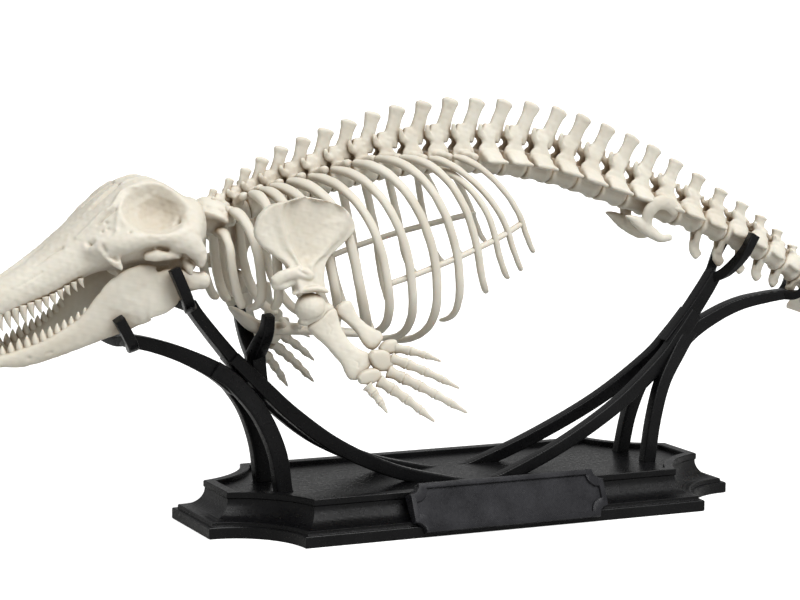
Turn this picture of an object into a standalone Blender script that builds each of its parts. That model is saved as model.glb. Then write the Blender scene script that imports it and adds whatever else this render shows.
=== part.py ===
"""Orca skeleton, a small printed model on its black display board.

Frame: metres, +Z up, head towards -X, tail towards +X, the animal's left
side towards -Y. The origin is on the table under the middle of the board,
and the skeleton's midline lies in the plane y = 0. Sizes below are in
millimetres and are turned to metres where a mesh is made.
"""

import math

import bmesh
import bpy
import numpy as np

MM = 0.001
GAP = 0.3

# Board
BOARD_LENGTH = 200.0
BOARD_WIDTH = 83.5
BOARD_HEIGHT = 14.0
PLINTH_HEIGHT = 3.9
CORNER_RADIUS = 24.2
RIM_INSET = 8.8
RIM_WIDTH = 3.8
RIM_FACE = 2.3
FLOOR_DEPTH = 1.6
BOARD_FLOOR = BOARD_HEIGHT - FLOOR_DEPTH
CORNER_STEPS = 5

# Plaque, a slanted plate with notched corners on the left side of the board
PLAQUE_HALF_LENGTH = 36.6
PLAQUE_BOTTOM = 2.5
PLAQUE_TOP = 17.5
PLAQUE_FRONT_LOW = 44.2
PLAQUE_FRONT_HIGH = 36.6
PLAQUE_NOTCH = 3.6
PLAQUE_BORDER = 1.9
PLAQUE_RECESS = 0.8

# Line through the middles of the vertebral bodies, as (x, z)
SPINE_LINE = (
    (-98.0, 101.8), (-80.0, 107.2), (-62.0, 112.2), (-42.0, 117.3), (-22.0, 120.4),
    (-2.0, 121.1), (18.0, 119.8), (36.0, 116.5), (52.0, 111.5), (70.0, 105.6),
    (90.0, 99.2), (110.0, 91.6), (126.0, 84.3), (140.5, 75.0), (152.0, 65.8),
    (167.0, 54.4),
)
# Distance between neighbouring vertebrae, as (index, spacing)
VERTEBRA_SPACING = ((0, 5.7), (2.5, 5.8), (4.5, 8.0), (9.5, 9.3), (14.5, 9.9), (20.5, 11.5),
                    (22.5, 10.7), (24.5, 9.0), (29, 8.1), (31, 7.0))
VERTEBRA_COUNT = 32
FIRST_VERTEBRA_OFFSET = 4.4
BODY_RADIUS = ((0, 4.4), (2, 3.7), (4, 3.8), (12, 3.8), (20, 4.3), (25, 4.0), (29, 3.2), (32, 2.1))
SPINE_HEIGHT = ((0, 11.0), (4, 17.8), (8, 20.6), (11, 21.8), (14, 21.0), (19, 18.6), (22, 13.2),
                (26, 8.4), (29, 5.8), (32, 3.0))
SPINE_LEAN = ((0, 2.2), (4, 3.4), (9, 4.6), (12, 7.0), (15, 10.4), (18, 10.2), (21, 6.0),
              (26, 2.2), (32, 0.8))
WING_SPAN = ((0, 9.0), (1, 6.5), (5, 8.0), (11, 8.8), (13, 8.6), (20, 9.2), (22, 6.4),
             (26, 4.5), (29, 2.6), (32, 1.8))
CHEVRON_LENGTH = ((22, 10.5), (25, 8.4), (27, 5.0), (29, 4.2))
FIRST_CHEVRON = 22
LAST_CHEVRON = 28
LAST_KNOB = 23
LAST_WING = 27
BODY_FILL = 0.86
DISC_STEP = 0.75
NECK_END = 3
CHEST_END = 13
LOIN_END = 21

# Height of the side wings' tips above the spine's line, as (vertebra number, value)
WING_LIFT = ((0, 0.0), (1, 2.4), (2, 5.4), (3, 6.2), (7, 5.5), (8, 5.0), (9, 3.8), (10, 2.4),
             (12, 2.0), (13, 0.1), (32, 0.0))

# Ribs: vertebra that carries it, height of its head above the spine's line, how round its
# upper sweep is, widest point, lower end, how far it bows back below, half width
RIBS = (
    (0.3, -3.0, 2.2, (-91.0, 13.5, 91.0), (-86.1, 12.0, 76.3), 2.4, 1.9),
    (1.1, 2.2, 1.8, (-83.6, 20.5, 90.0), (-82.8, 10.0, 75.4), 2.0, 2.0),
    (2.3, 6.0, 2.3, (-79.0, 24.0, 91.0), (-76.9, 16.0, 76.0), 1.2, 1.8),
    (2.95, 6.0, 2.3, (-71.5, 26.5, 92.0), (-65.0, 11.0, 70.0), 3.6, 1.8),
    (3.5, 6.2, 2.3, (-62.4, 28.4, 92.0), (-54.0, 12.0, 69.0), 5.0, 1.8),
    (4.35, 6.0, 2.3, (-54.0, 29.8, 92.0), (-43.2, 14.0, 66.0), 5.6, 1.9),
    (5.3, 5.4, 2.2, (-44.2, 31.6, 91.0), (-41.2, 12.0, 64.9), 5.3, 1.9),
    (6.3, 5.4, 2.2, (-35.8, 33.0, 91.0), (-33.8, 9.0, 62.4), 4.8, 1.7),
    (7.25, 5.5, 2.3, (-26.3, 33.0, 91.0), (-29.5, 8.0, 61.4), 3.9, 1.6),
    (8.2, 5.2, 2.4, (-17.5, 32.0, 92.0), (-17.3, 20.0, 69.3), 3.0, 1.4),
    (9.2, 3.8, 2.4, (-9.0, 30.0, 94.0), (-3.7, 27.0, 79.1), 2.4, 1.3),
    (10.6, -1.4, 2.0, (-1.0, 27.0, 98.0), (5.8, 24.5, 83.2), 3.6, 1.1),
    (10.35, 2.4, 1.75, (5.4, 23.8, 99.6), (11.8, 22.4, 85.5), 4.6, 1.1),
    (11.3, 2.4, 1.75, (13.6, 19.0, 101.6), (18.8, 18.2, 91.1), 3.6, 1.05),
)
RIB_THICKNESS = 0.76
RIB_HEAD_CLEAR = GAP + 0.7
RIB_BAR_RADIUS = 0.95
RIB_BAR_LOWEST = 83.0
RIB_BAR_FRONT = (-41.0, 84.6)
RIB_BAR_REAR = (13.6, 100.9)
LOWER_CURVE = 3.2

# Breastbone, shoulder and flipper
STERNUM_FRONT = (-84.5, 0.0, 73.2)
STERNUM_REAR = (-32.0, 0.0, 62.4)
SHOULDER = (-70.2, -33.6, 77.9)
HUMERUS_RADIUS = 4.9
FAR_FLIPPER_SWING = 9.0
FAR_BLADE_TURN = 25.0
FAR_BLADE_HEIGHT = 0.82
BLADE_NECK = 83.5

# Skull
SNOUT_TIP = -178.0
SKULL_REAR = -97.0
UPPER_TEETH = 12
LOWER_TEETH = 12
TOOTH_LENGTH = 4.8
TOOTH_RADIUS = 1.25

# Tail fluke: distance out from the midline, front and back edge along its slope
FLUKE_ROOT = (146.0, 0.0, 70.6)
FLUKE_SLOPE = 37.0
FLUKE_THICKNESS = 1.8
FLUKE_ROWS = ((3.8, 0.6, 26.0), (12.0, 4.0, 27.4), (22.0, 9.4, 26.4), (32.0, 15.6, 24.6),
              (38.0, 19.4, 23.6), (40.5, 21.2, 22.8))

BONE_COLOUR = (0.80, 0.75, 0.66, 1.0)
BLACK_COLOUR = (0.012, 0.012, 0.013, 1.0)

PART = bpy.data.collections.new("orca_skeleton_model")


def clear_scene():
    for old in list(bpy.data.objects):
        bpy.data.objects.remove(old, do_unlink=True)
    bpy.context.scene.collection.children.link(PART)


def material(name, colour, roughness):
    """A plain plastic of one colour."""
    made = bpy.data.materials.new(name)
    made.use_nodes = True
    shader = made.node_tree.nodes["Principled BSDF"]
    shader.inputs["Base Color"].default_value = colour
    shader.inputs["Roughness"].default_value = roughness
    shader.inputs["Metallic"].default_value = 0.0
    return made


def knots(table, at):
    """The value at a position, straight between the neighbouring named ones."""
    return float(np.interp(at, [row[0] for row in table], [row[1] for row in table]))


def smooth_line(points, steps):
    """A Catmull-Rom line through the points, steps pieces to each span."""
    p = np.array(points, float)
    p = np.vstack([2 * p[0] - p[1], p, 2 * p[-1] - p[-2]])
    out = []
    for i in range(1, len(p) - 2):
        for t in np.linspace(0, 1, steps, endpoint=False):
            out.append(0.5 * (2 * p[i] + (p[i + 1] - p[i - 1]) * t
                              + (2 * p[i - 1] - 5 * p[i] + 4 * p[i + 1] - p[i + 2]) * t * t
                              + (3 * p[i] - p[i - 1] - 3 * p[i + 1] + p[i + 2]) * t ** 3))
    out.append(p[-2])
    return np.array(out)


def mesh_object(name, bm):
    mesh = bpy.data.meshes.new(name)
    bmesh.ops.recalc_face_normals(bm, faces=bm.faces)
    bm.to_mesh(mesh)
    bm.free()
    made = bpy.data.objects.new(name, mesh)
    PART.objects.link(made)
    return made


def loft(name, rings):
    """One closed skin over a row of rings with equally many points each."""
    bm = bmesh.new()
    rows = [[bm.verts.new(np.array(point) * MM) for point in ring] for ring in rings]
    count = len(rows[0])
    for low, high in zip(rows, rows[1:]):
        for i in range(count):
            j = (i + 1) % count
            bm.faces.new((low[i], low[j], high[j], high[i]))
    bm.faces.new(rows[0][::-1])
    bm.faces.new(rows[-1])
    return mesh_object(name, bm)


def oval(centre, side, up, half_side, half_up, count, square=2.0):
    """Points round an oval; square above 2 fills its corners."""
    turn = (np.arange(count) + 0.5) * 2 * math.pi / count
    c, s = np.cos(turn), np.sin(turn)
    u = np.sign(c) * np.abs(c) ** (2 / square) * half_side
    v = np.sign(s) * np.abs(s) ** (2 / square) * half_up
    return np.array(centre) + np.outer(u, side) + np.outer(v, up)


def frames(path, side_hint):
    """The side and up vectors of each station of a path."""
    along = np.gradient(path, axis=0)
    along /= np.linalg.norm(along, axis=1)[:, None]
    hint = np.broadcast_to(np.array(side_hint, float), along.shape)
    side = hint - (hint * along).sum(1)[:, None] * along
    side /= np.linalg.norm(side, axis=1)[:, None]
    return side, np.cross(side, along)


def sweep(name, points, half_side, half_up, count=6, steps=2, square=2.0, hint=(0, 1, 0)):
    """A limb along a smooth line, its two half sizes given at each point of the line."""
    path = smooth_line(points, steps)
    at = np.linspace(0, 1, len(path))
    stations = np.linspace(0, 1, len(points))
    wide = np.interp(at, stations, np.broadcast_to(half_side, len(points)))
    high = np.interp(at, stations, np.broadcast_to(half_up, len(points)))
    side, up = frames(path, hint)
    rings = [oval(path[i], side[i], up[i], wide[i], high[i], count, square)
             for i in range(len(path))]
    return loft(name, rings)


def ball(name, centre, radii, detail=1):
    """An egg shape from an icosphere."""
    bm = bmesh.new()
    bmesh.ops.create_icosphere(bm, subdivisions=detail, radius=1.0)
    for vert in bm.verts:
        vert.co = (np.array(vert.co) * np.array(radii) + np.array(centre)) * MM
    return mesh_object(name, bm)


def cone(name, root, tip, radius, count=5):
    """A blunt-pointed cone from its root to its tip."""
    root, tip = np.array(root, float), np.array(tip, float)
    along = (tip - root) / np.linalg.norm(tip - root)
    side = np.cross(along, (1.0, 0.2, 0.1))
    side /= np.linalg.norm(side)
    up = np.cross(along, side)
    return loft(name, [oval(root, side, up, radius, radius, count),
                       oval(tip, side, up, 0.22 * radius, 0.22 * radius, count)])


def largest_shell(bm):
    """Removes all but the largest closed surface."""
    bm.verts.ensure_lookup_table()
    seen = set()
    shells = []
    for start in bm.verts:
        if start in seen:
            continue
        shell, queue = {start}, [start]
        while queue:
            for edge in queue.pop().link_edges:
                for vert in edge.verts:
                    if vert not in shell:
                        shell.add(vert)
                        queue.append(vert)
        seen |= shell
        box = np.array([vert.co for vert in shell])
        shells.append((float(np.prod(np.ptp(box, axis=0) + 1e-6)), shell))
    shells.sort(key=lambda row: row[0])
    loose = [vert for _, shell in shells[:-1] for vert in shell]
    bmesh.ops.delete(bm, geom=loose, context="VERTS")


def combine(base, others, operation, solver):
    """One Boolean of a base with a collection of objects, applied."""
    helpers = bpy.data.collections.new("helpers")
    for other in others:
        PART.objects.unlink(other)
        helpers.objects.link(other)
    modifier = base.modifiers.new("combine", "BOOLEAN")
    modifier.operation = operation
    modifier.operand_type = "COLLECTION"
    modifier.collection = helpers
    modifier.solver = solver
    graph = bpy.context.evaluated_depsgraph_get()
    mesh = bpy.data.meshes.new_from_object(base.evaluated_get(graph))
    base.modifiers.clear()
    base.data = mesh
    for other in others:
        bpy.data.objects.remove(other, do_unlink=True)
    bpy.data.collections.remove(helpers)


def fuse(name, pieces, look, cutters=(), solver="MANIFOLD"):
    """Joins the pieces, cuts the openings and keeps one closed body."""
    base = pieces[0]
    if len(pieces) > 1:
        combine(base, pieces[1:], "UNION", solver)
    if cutters:
        combine(base, list(cutters), "DIFFERENCE", solver)
    bm = bmesh.new()
    bm.from_mesh(base.data)
    bmesh.ops.remove_doubles(bm, verts=bm.verts, dist=2e-6)
    bmesh.ops.dissolve_degenerate(bm, edges=bm.edges, dist=2e-6)
    largest_shell(bm)
    bmesh.ops.triangulate(bm, faces=bm.faces)
    bm.to_mesh(base.data)
    bm.free()
    base.name = name
    base.data.name = name
    base.data.materials.clear()
    base.data.materials.append(look)
    return base


def mirrored(source, name, swing=0.0, pivot=(0, 0, 0)):
    """The right-hand twin of a left-hand node, swung about a pivot's cross axis."""
    twin = bpy.data.objects.new(name, source.data.copy())
    PART.objects.link(twin)
    c, s = math.cos(math.radians(swing)), math.sin(math.radians(swing))
    px, pz = pivot[0] * MM, pivot[2] * MM
    for vert in twin.data.vertices:
        x, y, z = vert.co
        dx, dz = x - px, z - pz
        vert.co = (px + c * dx + s * dz, -y, pz - s * dx + c * dz)
    twin.data.flip_normals()
    return twin


def turn_in(blade):
    """Lowers the right shoulder blade above its neck and turns its front edge inwards about
    the upright line through the shoulder."""
    c, s = math.cos(math.radians(FAR_BLADE_TURN)), math.sin(math.radians(FAR_BLADE_TURN))
    px, py, neck = SHOULDER[0] * MM, -SHOULDER[1] * MM, BLADE_NECK * MM
    for vert in blade.data.vertices:
        x, y, z = vert.co
        dx, dy = x - px, y - py
        low = z if z < neck else neck + (z - neck) * FAR_BLADE_HEIGHT
        vert.co = (px + c * dx - s * dy, py + s * dx + c * dy, low)


def spine_stations():
    """Centre, tangent and upward normal of each vertebra on the spine's line."""
    line = smooth_line([(x, 0.0, z) for x, z in SPINE_LINE], 12)
    length = np.concatenate([[0], np.cumsum(np.linalg.norm(np.diff(line, axis=0), axis=1))])
    at = FIRST_VERTEBRA_OFFSET
    stations = []
    for index in range(VERTEBRA_COUNT):
        centre = np.array([np.interp(at, length, line[:, k]) for k in range(3)])
        ahead = np.array([np.interp(at + 1, length, line[:, k]) for k in range(3)])
        along = ahead - np.array([np.interp(at - 1, length, line[:, k]) for k in range(3)])
        along /= np.linalg.norm(along)
        spacing = knots(VERTEBRA_SPACING, index)
        stations.append((centre, along, np.array([-along[2], 0.0, along[0]]), spacing))
        at += knots(VERTEBRA_SPACING, index + 0.5)
    return stations


STATIONS = spine_stations()


def vertebra(index):
    """Arch with its spine, side wings and front knobs of one vertebra."""
    centre, along, up, spacing = STATIONS[index]
    cross = np.array([0.0, 1.0, 0.0])
    radius = knots(BODY_RADIUS, index)
    label = f"vertebra_{index}"
    pieces = []
    height = knots(SPINE_HEIGHT, index)
    lean = knots(SPINE_LEAN, index)
    tip = centre + np.array([lean, 0.0, height])
    root = centre - along * 0.06 * spacing + up * radius * 0.4
    slim = 0.8 + 0.14 * spacing if index < LOIN_END else 0.19 * spacing
    arch = []
    shapes = [(0.0, 1.35, 2.5), (0.5, 0.9, 1.0), (0.92, 1.08, 1.05), (1.0, 0.8, 0.75)]
    if index >= LOIN_END:
        shapes = [shapes[0], shapes[1], (1.0, 1.0, 0.9)]
    for t, long_half, wide_half in shapes:
        point = root + (tip - root) * t
        arch.append(oval(point, along, cross, slim * long_half, wide_half, 6, 2.2))
    pieces.append(loft(label + "_arch", arch))
    span, tip_lift = knots(WING_SPAN, index), knots(WING_LIFT, index)
    carries_rib = index < CHEST_END
    root_lift = 0.25 * radius + 0.45 * max(tip_lift, 0) * carries_rib
    tip_thick, back = (1.1, 0.15 * spacing) if carries_rib else (0.8, 0.0)
    wing = []
    tip_chord = 0.24 if carries_rib else 0.42
    for t, chord, thick, lift in ((-1.0, tip_chord, tip_thick, tip_lift),
                                  (0.0, max(0.38, tip_chord), 1.2, root_lift),
                                  (1.0, tip_chord, tip_thick, tip_lift)):
        point = centre + cross * span * t + up * lift + along * back
        wing.append(oval(point, along, up, chord * spacing, thick, 6 if carries_rib else 4, 2.4))
    if index <= LAST_WING:
        pieces.append(loft(label + "_wings", wing))
    if index <= LAST_KNOB:
        front = centre - along * 0.30 * spacing + up * (radius + 0.30 * (height - radius))
        knob = [oval(front + cross * y, along, up, 1.25, 1.35, 5) for y in (-2.9, 2.9)]
        pieces.append(loft(label + "_knobs", knob))
    return pieces


def chevron(index):
    """The hanging bone under the joint in front of a vertebra."""
    centre, along, up, spacing = STATIONS[index]
    radius = knots(BODY_RADIUS, index)
    top = centre - along * spacing * 0.5 - up * radius * 0.55
    reach = knots(CHEVRON_LENGTH, index)
    tip = top - up * reach + along * 0.42 * reach
    return sweep(f"chevron_{index}", [top, top * 0.4 + tip * 0.6 - along * 0.3, tip],
                 [1.3, 1.1, 0.8], [2.1, 2.0, 1.3], 5, 1)


def bodies(name, first, last):
    """The vertebral bodies of a node, in one skin that steps in at each disc."""
    rings = []
    for index in range(first, last):
        centre, along, up, spacing = STATIONS[index]
        radius = knots(BODY_RADIUS, index)
        half = BODY_FILL * spacing / 2
        for t, r in ((-half, radius - DISC_STEP), (-half, radius), (half, radius),
                     (half, radius - DISC_STEP)):
            rings.append(oval(centre + along * t, (0, 1, 0), up, r, r, 8, 2.3))
    return loft(name, rings)


def spine_node(name, first, last, look):
    """A length of the spine: bodies and discs with an arch and wings on each body."""
    pieces = [bodies(name + "_bodies", first, last)]
    for i in range(first, last):
        pieces += vertebra(i)
        if FIRST_CHEVRON <= i <= LAST_CHEVRON:
            pieces.append(chevron(i))
    return fuse(name, pieces, look)


def rib_path(row):
    """Head at its vertebra's wing, sweep round the chest and lower end of one left rib, as
    two quarter turns of a superellipse."""
    index, lift, curve, widest, end, bow, _ = row
    low = int(index)
    centre = STATIONS[low][0] * (1 - index + low) + STATIONS[low + 1][0] * (index - low)
    beside = knots(WING_SPAN, index) if lift > 0 else knots(BODY_RADIUS, index) + 0.8
    head = (centre[0], beside + RIB_HEAD_CLEAR, centre[2] + lift)
    points = []
    for turn in np.radians((0, 30, 90)):
        across = math.sin(turn) ** (2 / curve)
        down = 1 - math.cos(turn) ** (2 / curve)
        back = 0.6 * across + 0.4 * down
        points.append([h + (w - h) * share
                       for h, w, share in zip(head, widest, (back, across, down))])
    for turn in np.radians((50, 90)):
        down = math.sin(turn) ** (2 / LOWER_CURVE)
        inward = 1 - math.cos(turn) ** (2 / LOWER_CURVE)
        point = [w + (e - w) * share
                 for w, e, share in zip(widest, end, (inward, inward, down))]
        points.append([point[0] + bow * down * (1 - inward), point[1], point[2]])
    return [(x, -y, z) for x, y, z in points]


def bar_point(path):
    """Where the straight line of the rib bar passes just inside one rib."""
    (front_x, front_z), (rear_x, rear_z) = RIB_BAR_FRONT, RIB_BAR_REAR
    widest_x = path[2][0]
    z = front_z + (rear_z - front_z) * (widest_x - front_x) / (rear_x - front_x)
    z = max(z, RIB_BAR_LOWEST)
    heights = [point[2] for point in path[::-1]]
    x, y = (float(np.interp(z, heights, [point[k] for point in path[::-1]])) for k in (0, 1))
    return np.array([x, y + 0.6, z])


def ribs_left(look):
    """Fourteen left ribs held together by the thin bar inside them."""
    pieces = []
    bar = []
    for number, row in enumerate(RIBS):
        path = rib_path(row)
        wide = row[6]
        across = [wide * k for k in (0.9, 1.0, 1.0, 1.0, 0.8)]
        through = [wide * RIB_THICKNESS * k for k in (1, 1, 1, 1, 0.8)]
        pieces.append(sweep(f"rib_{number}", path, across, through, 5, 1, 2.2, (1, 0, 0.25)))
        bar.append(bar_point(path))
    pieces.append(sweep("rib_bar", bar, RIB_BAR_RADIUS, RIB_BAR_RADIUS, 4, 1, 2.0, (0, 0, 1)))
    return fuse("ribs_left", pieces, look)


def sternum(look):
    """The breastbone, a wedge in front that narrows to a rod behind."""
    front, rear = np.array(STERNUM_FRONT), np.array(STERNUM_REAR)
    path = [front, front + (4.5, 0, -4.2), front + (12.0, 0, -6.0),
            front * 0.45 + rear * 0.55 + (0, 0, -2.2), rear]
    bone = sweep("sternum_rod", path, [5.0, 8.0, 5.6, 5.0, 3.4], [1.0, 2.6, 2.1, 1.8, 1.2],
                 8, 2, 2.4)
    return fuse("sternum", [bone], look)


def scapula(look):
    """Fan-shaped blade with its shoulder spine and forward hook."""
    rows = ((-70.4, -33.4, 83.0, 5.0, 2.6), (-71.4, -33.2, 86.0, 4.6, 2.2),
            (-72.6, -32.8, 91.5, 6.6, 1.8), (-73.2, -32.2, 97.5, 12.8, 1.4),
            (-72.8, -31.6, 102.5, 16.6, 1.3), (-72.4, -31.2, 106.5, 17.0, 1.3),
            (-71.6, -30.8, 110.4, 12.5, 1.2), (-71.2, -30.6, 113.2, 5.2, 1.0))
    rings = []
    for x, y, z, half, thick in rows:
        rings.append(oval((x, y, z), (1, 0, 0), (0, 1, 0.08), half, thick, 10, 2.0))
    blade = loft("scapula_blade", rings)
    ridge = sweep("scapula_ridge", [(-83.0, -32.8, 103.0), (-79.0, -33.6, 96.0),
                                    (-75.4, -34.2, 89.5)], [1.0, 1.3, 1.5], [1.2, 1.3, 1.4], 5, 1)
    hook = sweep("scapula_hook", [(-73.5, -33.6, 88.5), (-79.5, -34.6, 89.6),
                                  (-85.6, -34.8, 87.0)], [1.4, 1.3, 1.2], [1.9, 1.5, 1.6], 6, 2)
    socket = [ball("glenoid_cut", SHOULDER, [HUMERUS_RADIUS + GAP] * 3, 2)]
    return fuse("scapula_left", [blade, ridge, hook], look, socket)


def humerus(look):
    """Short round upper arm bone."""
    x, y, z = SHOULDER
    head = ball("humerus_head", SHOULDER, [HUMERUS_RADIUS] * 3, 2)
    neck = sweep("humerus_neck", [(x, y, z), (x + 2.6, y - 0.9, z - 3.9)], [2.6, 3.2],
                 [4.0, 5.4], 8, 2)
    return fuse("humerus_left", [head, neck], look)


def forearm(name, points, wide, thick, look):
    """A flat forearm bone, waisted in the middle."""
    bone = sweep(name + "_shaft", points, thick, wide, 8, 3, 2.5)
    return fuse(name, [bone], look)


def hand(look):
    """Wrist stones and five tapering, knuckled digits in one piece."""
    wrist = [(-47.4, -42.4, 64.0), (-51.6, -43.8, 60.0), (-56.2, -45.0, 56.0)]
    pieces = [ball(f"wrist_{i}", spot, (4.0, 2.1, 4.0)) for i, spot in enumerate(wrist)]
    digits = (((-46.4, -42.9, 64.6), (-32.3, -50.0, 60.6), 3),
              ((-48.2, -43.6, 61.6), (-27.3, -54.0, 51.9), 4),
              ((-51.0, -44.4, 58.6), (-25.3, -56.0, 44.0), 5),
              ((-53.8, -45.0, 56.2), (-36.2, -54.0, 41.6), 4),
              ((-56.8, -45.4, 54.8), (-52.6, -49.0, 45.5), 2))
    for number, (root, tip, bones) in enumerate(digits):
        root, tip = np.array(root), np.array(tip)
        path, wide = [], []
        for joint in range(bones):
            size = 1.75 * (1 - 0.55 * joint / bones)
            for t, k in ((0.0, 1.0), (0.5, 0.64)):
                path.append(root + (tip - root) * (joint + t) / bones)
                wide.append(size * k)
        path.append(tip)
        wide.append(0.45)
        thin = [0.75 * w for w in wide]
        pieces.append(sweep(f"digit_{number}", path, thin, wide, 5, 1))
    return fuse("hand_left", pieces, look)


def pelvis(look):
    """Left pelvic rod with the strut that hangs it from the spine."""
    y = -7.0
    rod = sweep("pelvis_rod", [(63.0, y, 101.8), (68.4, y, 97.6), (75.6, y, 94.2),
                               (80.8, y, 95.6)], [1.2, 1.7, 1.8, 1.0], [1.3, 2.2, 1.9, 0.9], 6, 2)
    strut = sweep("pelvis_strut", [(72.0, y, 95.6), (72.2, y, 100.0), (74.6, y, 103.3)],
                  [1.3, 1.1, 1.3], [2.0, 1.6, 2.2], 6, 1)
    return fuse("pelvis_left", [rod, strut], look)


def skull_halves(make):
    """Both sides of a paired piece; make takes -1 for left and 1 for right."""
    return [made for side in (-1, 1) for made in make(side)]


def skull(look):
    """Cranium, beak, cheek arches and the upper teeth."""
    cranium = ((-98.2, 100.5, 8.0, 6.5, 2.3), (-101.5, 101.2, 16.5, 10.4, 2.3),
               (-107.0, 102.0, 20.5, 12.4, 2.3), (-114.0, 103.4, 18.5, 14.4, 2.3),
               (-121.0, 103.2, 16.5, 14.8, 2.3), (-127.5, 100.8, 15.6, 12.8, 2.3),
               (-134.0, 98.0, 15.2, 10.0, 2.4), (-140.5, 94.2, 13.8, 8.4, 2.6),
               (-149.0, 90.2, 11.8, 7.4, 2.8), (-158.0, 86.2, 10.2, 6.4, 2.8),
               (-167.0, 82.4, 8.0, 4.9, 2.6), (-174.0, 79.8, 5.4, 3.4, 2.4),
               (-178.0, 78.6, 2.4, 1.6, 2.2))
    rings = [oval((x, 0, z), (0, 1, 0), (0, 0, 1), wide, high, 14, square)
             for x, z, wide, high, square in cranium]
    pieces = [loft("skull_core", rings)]

    def cheek(side):
        arch = sweep("cheek_arch", [(-103.5, side * 19.5, 89.6), (-105.5, side * 21.8, 95.0),
                                    (-112.5, side * 24.0, 98.4), (-121.0, side * 24.0, 99.2),
                                    (-129.0, side * 21.5, 98.6), (-133.5, side * 15.5, 99.0)],
                     [1.8, 2.6, 2.3, 2.0, 2.4, 2.6], [2.4, 3.8, 3.0, 2.2, 3.0, 4.0], 7, 1)
        brow = sweep("brow_plate", [(-123.0, side * 4.0, 115.0), (-126.5, side * 12.0, 109.8),
                                    (-129.0, side * 18.5, 103.0), (-130.5, side * 21.0, 98.0)],
                     [5.0, 5.6, 5.0, 3.6], [1.8, 1.7, 1.7, 1.6], 6, 1, 2.0, (1, 0, 0))
        tear = sweep("tear_bone", [(-132.5, side * 17.5, 97.5), (-131.0, side * 19.5, 91.2)],
                     [1.6, 0.9], [2.8, 0.9], 6, 1, 2.0, (0, 1, 0))
        crest = sweep("rear_crest", [(-116.0, side * 4.0, 118.0), (-106.5, side * 11.0, 113.0),
                                     (-102.6, side * 17.5, 104.0), (-103.6, side * 19.8, 96.0)],
                      [2.2, 2.6, 2.8, 3.0], [1.3, 1.5, 1.6, 1.8], 6, 1, 2.0, (1, 0, 0))
        ear = sweep("ear_bone", [(-123.0, side * 18.4, 94.9), (-117.5, side * 19.6, 95.2),
                                 (-108.5, side * 20.4, 94.4)], [1.3, 1.6, 1.0], [1.3, 1.8, 1.1],
                    6, 1)
        knob = ball("neck_condyle", (-99.6, side * 4.6, 101.2), (3.2, 4.0, 6.0), 1)
        hook = ball("palate_hook", (-117.5, side * 5.0, 88.6), (7.5, 3.2, 4.4), 1)
        peg = ball("ear_peg", (-106.2, side * 16.6, 89.6), (2.0, 1.9, 3.4), 1)
        return [arch, brow, tear, crest, ear, knob, hook, peg]

    def row(side):
        teeth = []
        for number in range(UPPER_TEETH):
            t = number / (UPPER_TEETH - 1)
            x = -173.2 + 36.2 * t
            y = side * (3.4 + 8.2 * t ** 0.8)
            z = 77.4 + 10.4 * t ** 1.6
            root = (x, y, z + 3.2)
            tip = (x + 1.0, y + side * 0.5, z - TOOTH_LENGTH * (0.85 - 0.25 * t))
            teeth.append(cone(f"upper_tooth_{number}", root, tip, TOOTH_RADIUS))
        return teeth

    def hollow(side):
        fossa = ball("temple_cut", (-115.4, side * 23.0, 109.6), (10.4, 10.4, 8.6), 2)
        nostril = ball("nostril_cut", (-125.2, side * 3.2, 115.4), (3.0, 1.7, 4.4), 1)
        return [fossa, nostril]

    pieces += skull_halves(cheek) + skull_halves(row)
    magnum = ball("spinal_hole_cut", (-96.0, 0, 104.6), (4.0, 2.2, 2.4), 1)
    return fuse("skull", pieces, look, skull_halves(hollow) + [magnum])


def lower_jaw(look):
    """Two jaw bones joined at the chin, each with its row of teeth."""
    ramus = ((-172.4, 1.6, 62.6, 2.0, 1.3), (-167.0, 4.4, 61.9, 2.5, 2.3),
             (-157.5, 7.4, 63.6, 2.5, 3.3), (-147.5, 10.4, 67.2, 2.4, 4.0),
             (-138.5, 13.2, 72.4, 2.3, 5.4), (-131.0, 15.4, 77.4, 1.9, 7.4),
             (-123.5, 17.2, 81.6, 1.6, 8.8), (-116.0, 18.8, 84.2, 1.5, 6.6),
             (-110.0, 19.6, 85.3, 1.6, 4.1), (-104.6, 19.6, 85.8, 2.2, 2.5))

    def side_pieces(side):
        rings = [oval((x, side * y, z), (0, 1, 0), (0, 0, 1), wide, high, 10, 2.3)
                 for x, y, z, wide, high in ramus]
        made = [loft("jaw_bone", rings)]
        made.append(ball("jaw_joint", (-103.6, side * 19.4, 85.6), (3.1, 2.6, 2.8), 1))
        for number in range(LOWER_TEETH):
            t = number / (LOWER_TEETH - 1)
            x = -171.0 + 34.4 * t
            y = side * (3.0 + 10.4 * t)
            z = 64.0 + 3.0 * t + 11.0 * t ** 2.0
            root = (x, y, z - 1.6)
            tip = (x + 0.9, y + side * 0.5, z + TOOTH_LENGTH * (1.0 - 0.25 * t))
            made.append(cone(f"lower_tooth_{number}", root, tip, TOOTH_RADIUS))
        return made

    chin = sweep("chin", [(-172.2, 0, 62.4), (-165.0, 0, 61.8), (-156.0, 0, 62.4)],
                 [2.2, 4.2, 6.0], [1.2, 2.1, 1.5], 8, 2)
    return fuse("lower_jaw", [chin] + skull_halves(side_pieces), look)


def fluke(look):
    """Left lobe of the tail fluke, a thin plate swept back beside the last vertebrae."""
    slope = math.radians(FLUKE_SLOPE)
    along = np.array([math.cos(slope), 0, -math.sin(slope)])
    up = np.array([math.sin(slope), 0, math.cos(slope)])
    rings = []
    for out, front, back in FLUKE_ROWS:
        centre = np.array(FLUKE_ROOT) + along * (front + back) / 2 + (0, -out, 0)
        rings.append(oval(centre, along, up, (back - front) / 2, FLUKE_THICKNESS / 2, 8))
    return fuse("fluke_left", [loft("fluke_plate", rings)], look)


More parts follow.
